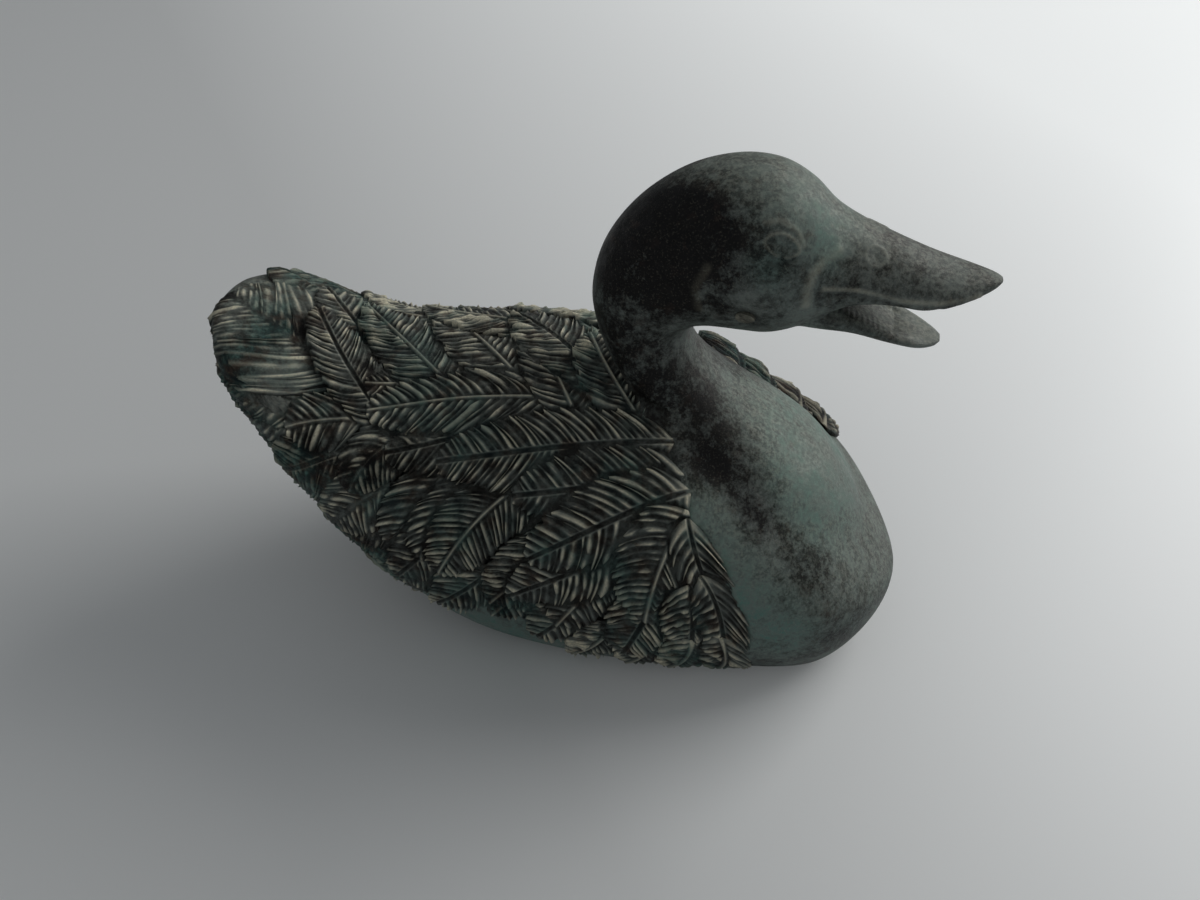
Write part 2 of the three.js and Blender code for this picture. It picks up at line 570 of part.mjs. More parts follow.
// The casting of breast, neck, head and upper bill, smooth but for the feathers that cross the joint.
const jawSide = (from, to) => {
  const shape = new THREE.Shape();
  shape.moveTo(from, -REACH);
  shape.lineTo(to, -REACH);
  shape.lineTo(to, REACH);
  shape.lineTo(from, REACH);
  shape.closePath();
  return extruded(shape, REACH);
};
const [jawJoint] = posed(JAW_JOINT);
const jawRoot = jawOuter.intersect(jawSide(-REACH, jawJoint - JOINT_GAP / 2));
const smoothForm = Manifold.union([
  plumedBody.intersect(jointSide(true)),
  neckAndHead, jawRoot, ...cheeks(),
  ...onFace(EYE, eyeball), ...onFace(NOSTRIL, nostrilRing),
]);
const frontShell = smoothForm.subtract(hollow);

// The lower bill, with a trough along its top, clear of the upper bill by the joint gap.
const billRoom = neckAndHead.translate([0, 0, -JOINT_GAP]).add(neckAndHead);
const [troughX, troughZ] = posed(TROUGH_MIDDLE);
const trough = solid(new THREE.SphereGeometry(1, 20, 12))
  .scale([TROUGH_LENGTH / 2, TROUGH_WIDTH / 2, TROUGH_DEPTH])
  .rotate([0, TROUGH_TILT, 0])
  .translate([troughX, 0, troughZ]);
const lowerBill = jawOuter
  .intersect(jawSide(jawJoint + JOINT_GAP / 2, REACH))
  .subtract(billRoom)
  .subtract(trough);

// Core-pin plugs, flush with the skin of the casting they close.
function plugAt(at, form, half, side) {
  const inner = half - PLUG_DEPTH;
  const plug = sidePin(at, PLUG_DIAMETER, inner, side).intersect(form);
  const hole = sidePin(at, PLUG_DIAMETER + 2 * PLUG_GAP, inner - 2 * WALL, side);
  return { plug, hole };
}
function skinAt(form, at) {
  const probe = form.intersect(sidePin(at, PLUG_DIAMETER, 0, -1));
  return -probe.boundingBox().min[1];
}
const [cheekPlugX, cheekPlugZ] = posed([CHEEK_PLUG.x, CHEEK_PLUG.z]);
const cheekPlugPlace = { x: cheekPlugX, z: cheekPlugZ };
const cheekSkin = skinAt(smoothForm, cheekPlugPlace);
const flankSkin = skinAt(plumedForm, FLANK_PLUG);
const cheekPlugs = [-1, 1].map((side) => plugAt(cheekPlugPlace, smoothForm, cheekSkin, side));
const flankPlugs = [-1, 1].map((side) => plugAt(FLANK_PLUG, plumedForm, flankSkin, side));
const bodyCasting = flankPlugs.reduce((shell, { hole }) => shell.subtract(hole), bodyShell);
const frontCasting = cheekPlugs.reduce((shell, { hole }) => shell.subtract(hole), frontShell);

// The surface of a solid as a three.js geometry.
function surface(made) {
  const { vertProperties, triVerts } = made.getMesh();
  const geometry = new THREE.BufferGeometry();
  geometry.setAttribute('position', new THREE.BufferAttribute(new Float32Array(vertProperties), 3));
  geometry.setIndex(new THREE.BufferAttribute(new Uint32Array(triVerts), 1));
  return geometry;
}

// The largest piece of a solid, without the crumbs and pockets that cuts leave.
function largest(made) {
  return made.decompose().reduce((most, piece) => (piece.volume() > most.volume() ? piece : most));
}

// The finished solids as named meshes, with the duck's middle over the origin.
const CRUMB = 3e-3;
function mesh(name, made, finish) {
  const geometry = surface(largest(solid(surface(made).toNonIndexed(), CRUMB)));
  geometry.computeVertexNormals();
  const part = new THREE.Mesh(geometry, new THREE.MeshStandardMaterial(finish));
  part.name = name;
  return part;
}

const duck = new THREE.Group();
duck.name = 'bronze_duck';
duck.add(
  mesh('body_casting', bodyCasting, BRONZE),
  mesh('front_casting', frontCasting, { ...BRONZE, color: 0x4a544e }),
  mesh('lower_bill', lowerBill, { ...BRONZE, color: 0x555c53 }),
  mesh('base_plate', basePlate, { ...BRONZE, color: 0x5a5340 }),
  mesh('cheek_plug_right', cheekPlugs[0].plug, { ...BRONZE, color: 0x7a7c6c }),
  mesh('cheek_plug_left', cheekPlugs[1].plug, { ...BRONZE, color: 0x7a7c6c }),
  mesh('flank_plug_right', flankPlugs[0].plug, BRONZE),
  mesh('flank_plug_left', flankPlugs[1].plug, BRONZE),
);
const span = new THREE.Box3().setFromObject(duck);
duck.position.x = -(span.min.x + span.max.x) / 2;

export default duck;
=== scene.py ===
import math

import bpy
import numpy as np
from mathutils import Matrix, Vector
from mathutils.bvhtree import BVHTree


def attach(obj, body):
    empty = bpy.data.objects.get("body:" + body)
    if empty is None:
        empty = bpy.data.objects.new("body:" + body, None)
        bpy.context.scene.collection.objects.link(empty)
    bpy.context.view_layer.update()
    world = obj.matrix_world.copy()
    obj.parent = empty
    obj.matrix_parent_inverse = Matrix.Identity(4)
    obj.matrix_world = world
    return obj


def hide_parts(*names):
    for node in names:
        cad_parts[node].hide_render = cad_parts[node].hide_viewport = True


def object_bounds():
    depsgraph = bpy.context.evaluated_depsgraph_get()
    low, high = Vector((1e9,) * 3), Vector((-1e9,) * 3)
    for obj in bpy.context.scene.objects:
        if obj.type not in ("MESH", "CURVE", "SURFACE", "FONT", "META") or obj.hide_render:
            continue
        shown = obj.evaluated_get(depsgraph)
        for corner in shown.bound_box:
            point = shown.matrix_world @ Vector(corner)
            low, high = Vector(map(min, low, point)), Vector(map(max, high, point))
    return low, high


bl_info = {
    "name": "Bronze Duck Figurine",
    "version": (1, 0, 0),
    "blender": (4, 5, 0),
    "location": "View3D > Sidebar > Bronze Duck",
    "description": "A small patinated bronze duck with chased feathers, and its stage",
    "category": "Object",
}

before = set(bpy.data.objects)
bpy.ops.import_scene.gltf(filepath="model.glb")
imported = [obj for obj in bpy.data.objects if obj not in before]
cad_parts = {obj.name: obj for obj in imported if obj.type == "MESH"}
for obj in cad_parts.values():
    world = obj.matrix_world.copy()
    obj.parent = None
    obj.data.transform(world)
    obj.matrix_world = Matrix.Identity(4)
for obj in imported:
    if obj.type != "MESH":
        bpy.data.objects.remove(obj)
CAD_BOX = [list(corner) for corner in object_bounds()]
MM = 0.001

# All forms are in millimetres.

# Body at places along the duck: x, top, underside, half width, height of greatest width, fullness.
BODY = np.array([
    (-53, 51, 43, 11.5, 47.5, 2.2),
    (-45, 47.9, 32, 16, 42, 2.2),
    (-34, 44, 18.5, 20.8, 33, 2.3),
    (-22, 43.8, 6, 24.6, 26, 2.3),
    (-8, 45.5, -3, 26.8, 22, 2.4),
    (8, 47, -6, 27.3, 20, 2.4),
    (22, 45.5, -6, 26.4, 19, 2.4),
    (34, 39.5, -5, 24.6, 18, 2.35),
    (46, 31, -4, 22.5, 17, 2.3),
    (60, 18, -1, 16.5, 13, 2.1),
])
# Where the body ends at the tail and the breast, and the length over which it rounds off.
TAIL_END, TAIL_ROUND = -55.0, 8.0
BREAST_END, BREAST_ROUND = 61.2, 13.0

# Neck, head and upper bill as ribs: nape x and z, throat x and z, half width, seat of the greatest width.
RIBS = np.array([
    (24, 8, 54, 6, 19, 0.5),
    (21, 22, 54.5, 21, 19, 0.5),
    (20, 31, 48.5, 32.5, 16.5, 0.5),
    (18.5, 37, 41.5, 38.8, 13.8, 0.5),
    (15.8, 42.5, 35.3, 42.8, 11.6, 0.5),
    (13, 47.5, 29.5, 46.5, 10, 0.5),
    (10.4, 52, 25.3, 50.2, 9.2, 0.5),
    (8.4, 57, 23, 54.2, 8.8, 0.5),
    (7.6, 62.5, 22.8, 57, 8.9, 0.5),
    (9.2, 69.5, 24.2, 58.6, 9.5, 0.5),
    (13.6, 76.3, 26.2, 59, 10.1, 0.5),
    (20, 81.6, 28.4, 58.9, 10.6, 0.5),
    (26.8, 84.2, 31, 58.8, 10.8, 0.5),
    (32.6, 84.2, 34.2, 59, 10.7, 0.5),
    (37.4, 82, 37.6, 60.4, 10, 0.5),
    (41, 79, 41.2, 63.2, 8.7, 0.42),
    (44.8, 77.1, 45, 66, 7.4, 0.3),
    (49.5, 75.3, 49.6, 67.2, 6.6, 0.22),
    (55, 73.3, 55, 67.2, 6.3, 0.2),
    (59.5, 72.2, 59.5, 68.3, 4.9, 0.24),
    (63.3, 71.6, 63.3, 69.7, 2.5, 0.35),
    (65, 71.3, 65, 70.7, 0.7, 0.5),
])
# Lower bill as ribs, how far its root melts into the head and where its own piece starts.
JAW_MELTED, JAW_START = 1.15, 0.8
JAW = np.array([
    (34, 69.2, 34, 61.2, 7, 0.5),
    (41, 67.8, 41, 61.2, 6.8, 0.5),
    (46, 65.6, 46, 61, 6, 0.6),
    (51, 63.2, 51, 60, 5, 0.65),
    (55, 61.6, 55, 59.3, 3.9, 0.65),
    (57.5, 60.8, 57.5, 59.3, 2.3, 0.6),
    (58.6, 60.4, 58.6, 59.8, 0.9, 0.5),
])
BILL_TIP = 65.0
# The forms' x at the row frame's origin.
MIDDLE = BILL_TIP - CAD_BOX[1][0] / MM
# Height at which the skin of the body ends and the head's begins.
NECK_CUT = 51.0

# Feathers: root, middle and tip as (x, distance down the side from the spine), width,
# and how far the tip stands off the skin. A distance below nought is on the duck's left.
BACK = [
    ((-28, 8), (-42.5, 4), (-53.2, 0.5), 25, 0.5),
    ((-21, 16), (-31.2, 6.1), (-40.0, -3.2), 9.5, 2.3),
    ((-10, 11), (-24.5, -2.0), (-33.5, -9.5), 11.5, 1.7),
    ((0.5, 9), (-9.8, -1.6), (-21.5, -12.5), 11.5, 1.7),
    ((12, 6), (2.8, -3.1), (-8, -13), 11.5, 1.6),
    ((9, 14), (2, 3.0), (-4.3, -8.0), 9, 1.8),
    ((21.5, 14.5), (13, 5.6), (6, -6), 10, 1.7),
    ((-26, 3), (-33.5, -4.5), (-41.5, -11), 10, 1.3),
    ((-14, 6.5), (-20, 8.2), (-27, 9.5), 8, 1.3),
]
FLANK = [
    ((-32, 14), (-42, 15.4), (-51, 15), 9.5, 0.7),
    ((7, 9.2), (-9.2, 10.7), (-25.2, 14.6), 11.5, 1.5),
    ((0, 13.4), (-9.8, 17.6), (-20.5, 20.6), 10, 1.4),
    ((-25, 15.2), (-31.5, 16.9), (-37, 19.5), 9.5, 1.3),
    ((23, 12.4), (7.7, 17.4), (-12, 21.6), 12, 1.6),
    ((25.5, 17), (12.4, 22.6), (0.5, 25.6), 11, 1.5),
    ((26.5, 18.6), (14.6, 27.7), (3.6, 35.3), 11.5, 1.6),
    ((26, 25), (14.8, 33.7), (0.6, 43.2), 11, 1.5),
    ((18.4, 31), (13.3, 39.7), (8.3, 48.6), 10, 1.5),
    ((26.6, 21.5), (23.6, 32), (22.2, 42.5), 13, 1.9),
    ((26.7, 22.5), (30.6, 30.5), (36, 36.5), 9, 1.3),
    ((-15.6, 16.6), (-21.9, 20.9), (-25.2, 27), 9.5, 1.4),
    ((-8, 21), (-14.4, 28.8), (-18, 36), 10.5, 1.5),
    ((5, 21.4), (-4, 29.4), (-10.5, 40), 11.5, 1.6),
    ((10.5, 31), (3.5, 38.4), (-2.4, 45.5), 11, 1.5),
    ((-7, 30.6), (-13.3, 37.0), (-18.4, 43), 10, 1.4),
    ((-3.4, 25), (-10.2, 30.2), (-13.2, 37.6), 9, 1.4),
    ((-19, 25), (-25, 29.6), (-29.6, 35), 10, 1.2),
    ((-26, 20.5), (-33, 24), (-38.6, 28), 10, 1.1),
    ((-35, 19), (-41.5, 19.6), (-47.5, 19.6), 9, 0.8),
    ((28.4, 32.4), (29.6, 40.6), (29.2, 50), 10, 1.5),
    ((24, 37), (21.6, 45), (18.8, 53.5), 10.5, 1.4),
    ((29.6, 30), (33.4, 35), (35, 44), 9, 1.4),
    ((-1, 38), (-7.3, 44.6), (-12.5, 49.5), 10, 1.2),
    ((12, 43), (8.6, 48.6), (4.5, 54), 9.5, 1.2),
    ((17.5, 46), (14.8, 53), (10, 60), 8, 0.9),
    ((24, 46), (22.6, 53), (19, 60), 9, 1.0),
    ((29.8, 44), (29, 51), (26, 58.5), 8.5, 1.0),
    ((34, 40), (35.4, 47), (34, 55), 8.5, 0.9),
]
LEFT_SHOULDER = [
    ((31, -8), (28.5, -18), (24.5, -30), 10.5, 3.5),
    ((36, -9), (34.5, -19), (31, -31), 9.5, 3.5),
    ((41, -11), (39.8, -20), (37, -31), 9, 3.4),
    ((45.5, -13), (44.8, -20), (42.5, -29), 7.5, 3.1),
    ((42, -25), (42.5, -34), (40.5, -43), 9.5, 3.2),
    ((37, -26), (36.5, -36), (34.5, -46), 10, 3.3),
]

# The first seed of each group of feathers.
BACK_SEED, RIGHT_SEED, LEFT_SEED, SHOULDER_SEED, ROWS_SEED = 10, 40, 80, 120, 500
TINY = 1e-9


def rising(value, start, span):
    """From nought to one, as a value goes on from a start over a span."""
    return np.clip((value - start) / span, 0, 1)


def along(stations, key, at):
    """A column of the stations at a place between them, on a smooth curve."""
    place, value = stations[:, 0], stations[:, key]
    last = len(place) - 1
    k = np.clip(np.searchsorted(place, at) - 1, 0, last - 1)
    ahead, behind = np.minimum(np.arange(last + 1) + 1, last), np.maximum(np.arange(last + 1) - 1, 0)
    slope = (value[ahead] - value[behind]) / (place[ahead] - place[behind])
    span = place[k + 1] - place[k]
    t = np.clip((at - place[k]) / span, 0, 1)
    bend = ((t**3 - 2 * t**2 + t) * slope[k] + (t**3 - t**2) * slope[k + 1]) * span
    return value[k] + (value[k + 1] - value[k]) * t * t * (3 - 2 * t) + bend


def body_point(x, turn):
    """A point of the body's skin, from its place along the duck and the turn round its section."""
    x, turn = np.broadcast_arrays(np.asarray(x, float), np.asarray(turn, float))
    tail = np.clip((TAIL_END + TAIL_ROUND - x) / TAIL_ROUND, 0, 1)
    breast = np.clip((x - BREAST_END + BREAST_ROUND) / BREAST_ROUND, 0, 1)
    close = np.sqrt(1 - tail**2) * np.sqrt(1 - breast**2)
    top, under, half, waist, fullness = (along(BODY, key, x) for key in range(1, 6))

    def squared(value):
        return np.sign(value) * np.abs(value) ** (2 / fullness)

    rise = squared(np.sin(turn))
    reach = np.where(rise > 0, top - waist, waist - under)
    y = close * half * squared(np.cos(turn))
    z = waist + close * reach * rise
    return np.stack([x, y, np.maximum(z, 0)], axis=-1)


def rib_point(ribs, at, turn):
    """A point on a ribbed form, at a place counted in ribs and a turn round from the left side."""
    at, turn = np.broadcast_arrays(np.asarray(at, float), np.asarray(turn, float))
    counted = np.column_stack([np.arange(len(ribs)), ribs])
    back_x, back_z, throat_x, throat_z, half, seat = (along(counted, key, at) for key in range(1, 7))
    lift = seat + np.sin(turn) * np.where(np.sin(turn) > 0, 1 - seat, seat)
    x = throat_x + (back_x - throat_x) * lift
    z = throat_z + (back_z - throat_z) * lift
    return np.stack([x, half * np.cos(turn), z], axis=-1)


def to_metres(points):
    """Points in the row frame, in metres."""
    return (np.asarray(points) - (MIDDLE, 0, 0)) * MM


def shell_faces(count, sides, first=0):
    """Faces of a closed shell through rings of points that follow each other in a mesh."""
    grid = first + np.arange(count * sides).reshape(count, sides)
    side = np.roll(grid, -1, axis=1)
    quads = np.stack([grid[:-1], side[:-1], side[1:], grid[1:]], axis=-1).reshape(-1, 4)
    return quads.tolist() + [grid[0, ::-1].tolist(), grid[-1].tolist()]


def new_piece(name, points, faces):
    """An object with a mesh of these points and faces."""
    mesh = bpy.data.meshes.new(name)
    mesh.from_pydata(points.tolist(), [], faces)
    made = bpy.data.objects.new(name, mesh)
    bpy.context.scene.collection.objects.link(made)
    return made


def loft(name, rings):
    """A closed object, in millimetres, through rings of points."""
    return new_piece(name, rings.reshape(-1, 3), shell_faces(*rings.shape[:2]))


def select(*objects):
    """Only these objects are selected, and the first is active."""
    bpy.ops.object.select_all(action="DESELECT")
    for each in objects:
        each.select_set(True)
    bpy.context.view_layer.objects.active = objects[0]


def points_of(mesh):
    """The vertices of a mesh as rows of numbers."""
    found = np.empty(len(mesh.vertices) * 3)
    mesh.vertices.foreach_get("co", found)
    return found.reshape(-1, 3)


def normals_of(mesh):
    """The vertex normals of a mesh as rows of numbers."""
    found = np.empty(len(mesh.vertices) * 3, np.float32)
    mesh.vertex_normals.foreach_get("vector", found)
    return found.reshape(-1, 3).astype(float)


def put_points(mesh, points):
    """Moves the vertices of a mesh."""
    mesh.vertices.foreach_set("co", np.ascontiguousarray(points, float).ravel())
    mesh.update()


def recast(piece, grain):
    """Melts joined forms into one skin of even faces."""
    select(piece)
    modifier = piece.modifiers.new("Skin", "REMESH")
    modifier.mode = "VOXEL"
    modifier.voxel_size = grain
    bpy.ops.object.modifier_apply(modifier=modifier.name)


# Filing: its strength, the whole skin's share and rounds, and the reach of a soft valley between forms.
FILING, EVEN_FILING, EVEN_ROUNDS, VALLEY = 0.6, 0.8, 6, 5.0


def soften(mesh, weight, rounds):
    """Files the skin smooth, as much as each point's weight says."""
    points = points_of(mesh)
    ends = np.empty(len(mesh.edges) * 2, np.int64)
    mesh.edges.foreach_get("vertices", ends)
    a, b = ends.reshape(-1, 2).T
    many = len(points)
    degree = np.bincount(a, minlength=many) + np.bincount(b, minlength=many)
    for _ in range(rounds):
        for axis in range(3):
            value = points[:, axis]
            total = np.bincount(a, value[b], many) + np.bincount(b, value[a], many)
            points[:, axis] = value + weight * FILING * (total / degree - value)
    put_points(mesh, points)


def to_stroke(points, stroke):
    """Distance of each point from a polyline."""
    nearest = np.full(len(points), np.inf)
    for start, end in zip(stroke[:-1], stroke[1:]):
        start, reach = np.array(start, float), np.subtract(end, start).astype(float)
        t = rising((points - start) @ reach, 0, reach @ reach)
        nearest = np.minimum(nearest, np.linalg.norm(points - start - t[:, None] * reach, axis=1))
    return nearest


def keep(mesh, **values):
    """Keeps values from 0 to 1 at the points of a mesh, for its patina and its painted light and shade.
    """
    for name, value in values.items():
        attribute = mesh.attributes.new(name, "FLOAT", "POINT")
        attribute.data.foreach_set("value", np.clip(value, 0, 1).astype(np.float32))


# Patina of the smooth skin: its tone, its greenness and the relief that means no chasing.
BASE_TONE, BASE_GREEN, FLAT = 0.5, 0.3, 0.5
# Patches of it on the right side: middle, reach, how much lighter and how much greener.
# Dark patches on the nape, behind the eye and in the hollow by the shoulder are painted shade; light ones
# on the crown are partly painted highlight.
PATCHES = np.array([
    (26, -2, 84, 6, 0.25, 0.1), (13, -3, 75, 7, -0.45, 0), (17, -9, 73, 7, -0.9, -0.3),
    (24, -9, 78, 6, -0.9, -0.3), (22, -9.5, 70, 5, -0.8, -0.2), (9, -5, 66, 5, -0.35, 0),
    (16, -9, 64, 4, 0.15, -0.2), (31, -5, 82.5, 4.5, 0.3, 0.2), (38, -5, 80.5, 4.5, 0.5, 0.5),
    (43, -3, 78, 3.5, 0.45, 0.3), (40.5, -7, 76.5, 2.5, 0.2, 0.7), (30, -11, 71, 2.6, 0.2, -0.1),
    (31, -11, 67, 3.2, -0.1, -0.2), (25.2, -10.5, 70.6, 1.3, 0.6, 0),
    (24.6, -10.3, 68.6, 1.1, 0.6, 0), (25.6, -10, 66.4, 1.1, 0.5, 0), (47, -5, 74, 4, 0.12, -0.2),
    (55, -3, 72.8, 6, 0.02, -0.4), (55, -3, 61, 4, 0.7, -0.2), (38.4, -9.5, 68, 1.6, 0.5, 0.1),
    (14, -8, 54, 6, -0.6, -0.2), (19, -9, 50, 5, -0.45, -0.2), (25, -5, 50, 5, -0.12, -0.1),
    (31, -3, 45.5, 5, 0.05, 0.15), (38, -2, 41, 5.5, 0.35, 0.45), (29, -14, 41, 6, -0.7, -0.3),
    (37, -16, 35, 5.5, -0.6, -0.3), (46, -16, 27.5, 5, -0.4, -0.1), (42, -8, 37, 5.5, 0.5, 0.9),
    (46, -9, 31, 6, 0.6, 0.9), (37, -24, 24, 5, 0.5, 0.8), (43, -23, 17, 5.5, 0.6, 0.8),
    (52, -19, 14, 5, -0.05, 0), (55, -9, 20, 8, 0.3, 0.1), (52, -2, 29, 6, 0.5, 0.3),
    (15, -8, 72, 7, -0.8, -0.2), (20, -8, 77, 5, -0.6, -0.2), (33, -10, 74, 3, -0.3, 0.3),
    (54, -3, 74, 6, -0.12, 0), (27.5, -7, 47.5, 5, -0.42, -0.1), (33, -10, 71, 3, -0.05, 0),
    (-13, -26, 9, 8, 0.6, 0.7), (-2, -26, 6, 8, 0.6, 0.7), (8, -26, 4, 8, 0.5, 0.6),
    (28, -19.5, 36.5, 5, 0.8, 0.7), (33, -21, 31, 4.5, 0.6, 0.6),
])


def patched(points):
    """Tone and greenness of the patina at points in millimetres, the same on both sides; the tone also
    holds painted shade and light.
    """
    place = np.column_stack([points[:, 0], -np.abs(points[:, 1]), points[:, 2]])
    tone, green = np.full(len(place), BASE_TONE), np.full(len(place), BASE_GREEN)
    for x, y, z, reach, lighter, greener in PATCHES:
        near = np.exp(-(((place - (x, y, z)) ** 2).sum(axis=1) / reach**2))
        tone += 0.5 * lighter * near
        green += greener * near
    return {"tone": tone, "green": green}


def dusted_and_top_lit(mesh):
    """How much dust, and painted light from above, lies on each point, from the way its surface faces."""
    return {"dust_and_light": np.clip(normals_of(mesh)[:, 2], 0, 1)}


def finish_piece(piece, material, slot, *nodes):
    """Gives a modelled piece its finish and body, and says which solids it stands for."""
    piece.data.materials.clear()
    piece.data.materials.append(material)
    piece.data.shade_smooth()
    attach(piece, "root")
    if nodes:
        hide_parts(*nodes)


# Points along and round each form, and the turn left open at the body's ends.
BODY_GRID, HEAD_GRID, JAW_ROWS, END_TURN = (150, 128), (190, 72), 12, 0.012


def whole_skin(name, grain, rounds):
    """The body, neck and head as one skin with soft valleys between them."""
    middle, half = (TAIL_END + BREAST_END) / 2, (BREAST_END - TAIL_END) / 2
    x = middle - half * np.cos(np.linspace(END_TURN, np.pi - END_TURN, BODY_GRID[0]))
    turn = np.linspace(0, 2 * np.pi, BODY_GRID[1], endpoint=False)
    body = loft(name, body_point(x[:, None], turn[None, :]))
    head_at = np.linspace(0, len(RIBS) - 1, HEAD_GRID[0])
    head_turn = np.linspace(0, 2 * np.pi, HEAD_GRID[1], endpoint=False)
    head = loft(name + "_head", rib_point(RIBS, head_at[:, None], head_turn[None, :]))
    jaw_at = np.linspace(0, JAW_MELTED, JAW_ROWS)
    jaw = loft(name + "_jaw", rib_point(JAW, jaw_at[:, None], head_turn[None, :]))
    trees = []
    for form in (body, head):
        corners = [v.co for v in form.data.vertices]
        trees.append(BVHTree.FromPolygons(corners, [p.vertices for p in form.data.polygons]))
    select(body, head, jaw)
    bpy.ops.object.join()
    recast(body, grain)
    valley = np.array([max(tree.find_nearest(v.co)[3] for tree in trees) for v in body.data.vertices])
    soften(body.data, np.full(len(valley), EVEN_FILING), EVEN_ROUNDS)
    soften(body.data, np.exp(-(valley / VALLEY) ** 2), rounds)
    return body


def cut_level(piece, height, above):
    """Cuts a piece off level at a height and closes the cut."""
    select(piece)
    bpy.ops.object.mode_set(mode="EDIT")
    bpy.ops.mesh.select_all(action="SELECT")
    bpy.ops.mesh.bisect(
        plane_co=(0, 0, height), plane_no=(0, 0, 1), use_fill=True,
        clear_inner=above, clear_outer=not above)
    bpy.ops.object.mode_set(mode="OBJECT")


def face_line(*places):
    """Points on the right of the head from places given as a rib and a turn up from the side."""
    return [tuple(rib_point(RIBS, rib, math.pi - turn)) for rib, turn in places]


# The almond edge of the eye.
EYE = [(13.33 + 0.52 * math.cos(a), 0.5 + 0.13 * math.sin(a) * abs(math.sin(a)) ** 0.4)
       for a in np.linspace(0, 2 * math.pi, 17)]
MOUTH_EDGE = [
    (40.8, -8.8, 71.2), (45.6, -7.2, 70.7), (51.2, -6.6, 69.5), (56.6, -5.7, 69.4), (61.8, -3.4, 70),
]

# Chisel marks on the right of the head: points, half width and height, less than nought for a groove.
STROKES = [
    ([(26.8, -10.4, 73), (25.4, -10.6, 70), (25.9, -10.2, 66.5), (28, -8.8, 63.5)], 0.8, -0.2),
    ([(25.2, -10.4, 73.2), (23.9, -10.4, 70), (24.5, -10, 66.4)], 0.8, 0.2),
    (face_line(*EYE), 0.26, 0.17),
    (face_line((13.05, 0.5), (13.6, 0.5)), 0.45, -0.16),
    (face_line((12.9, 0.36), (13.1, 0.3), (13.4, 0.3), (13.7, 0.38)), 0.4, -0.14),
    (face_line((12.8, 0.7), (13.2, 0.76), (13.7, 0.72), (13.95, 0.58)), 0.5, 0.12),
    ([(42, -6, 75.9), (40.4, -7.9, 75.2), (39.1, -9.2, 73.6), (38.6, -9.8, 71.4), (38.8, -9.6, 69)],
     0.8, 0.22),
    (MOUTH_EDGE, 0.34, 0.17),
    ([(41.2, -8.6, 70.2), (45.6, -7.0, 69.7), (51.2, -6.4, 68.4), (56.6, -5.4, 68.5)], 0.42, -0.34),
    ([(46.9, -4.3, 75.6), (47.3, -4.6, 74)], 0.28, -0.22),
]
# Swellings and hollows of the face: middle, reach and height.
BULGES = [
    ((32.2, -10, 69.8), 4.6, 0.6),
    (face_line((13.33, 0.5))[0], 1.3, 0.25),
    ((33.5, -8.6, 80.5), 3.2, 0.3),
    ((30.9, -9.8, 65.3), 2.0, -0.8),
]
# Pits under the eye, their depth and size, and the nostril's ring: middle, radius, half width, height.
PITS = [face_line(place)[0] for place in ((13.0, 0.3), (13.22, 0.27), (13.3, 0.35), (13.5, 0.3))]
PIT_DEPTH, PIT_SIZE = 0.3, 0.32
NOSTRIL = ((47.05, -4.4, 74.8), 1.5, 0.28, 0.13)


def carve_head(mesh):
    """Carves the cheeks, eyes, nostrils and the edges of the bill on both sides."""
    points = points_of(mesh)
    out = normals_of(mesh)
    right = np.where(points[:, 1:2] > 0, points * (1, -1, 1), points)
    lift = np.zeros(len(points))
    for place, size, height in BULGES:
        lift += height * np.exp(-(np.linalg.norm(right - place, axis=1) / size) ** 2)
    marks = np.zeros(len(points))
    for stroke, width, height in STROKES:
        marks += height * np.exp(-(to_stroke(right, stroke) / width) ** 2)
    for pit in PITS:
        marks -= PIT_DEPTH * np.exp(-(np.linalg.norm(right - pit, axis=1) / PIT_SIZE) ** 2)
    place, radius, width, height = NOSTRIL
    ring = np.exp(-((np.linalg.norm(right - place, axis=1) - radius) / width) ** 2)
    put_points(mesh, points + out * (lift + marks + height * ring)[:, None])
    kept = patched(points)
    # The mouth edge and the nostril ring get a painted highlight in tone and relief; the marks set
    # painted shade in grooves and pits and a painted highlight on raised strokes.
    edge = np.exp(-(to_stroke(right, MOUTH_EDGE) / 0.45) ** 2)
    kept["tone"] += 0.15 * (edge + ring)
    keep(mesh, relief=FLAT + marks * 0.65 + 0.05 * (edge + ring), **kept, **dusted_and_top_lit(mesh))


# How closely the skin is measured for the feathers, how far down, and the points of each section.
SKIN_STEP, FARTHEST, SECTION_POINTS = 0.5, 90, 240


def skin_table():
    """Points and normals of the body's right side, by place along it and distance from the spine."""
    x = np.arange(TAIL_END + 0.1, BREAST_END - 1, SKIN_STEP)
    far = np.arange(0, FARTHEST, SKIN_STEP)
    turn = np.linspace(np.pi / 2, 1.5 * np.pi, SECTION_POINTS)
    table = np.empty((len(x), len(far), 3))
    for row, place in zip(table, x):
        section = body_point(place, turn)
        run = np.concatenate([[0], np.cumsum(np.linalg.norm(np.diff(section, axis=0), axis=1))])
        for axis in range(3):
            row[:, axis] = np.interp(far, run, section[:, axis])
    out = np.cross(np.gradient(table, axis=0), np.gradient(table, axis=1))
    length = np.linalg.norm(out, axis=-1, keepdims=True)
    out = np.where(length > TINY, -out / np.maximum(length, TINY), (0, 0, -1))
    out *= np.sign(out[:, :1, 2:3]) * np.sign(out[0, 0, 2])
    return x[0], table, out


SKIN = skin_table()


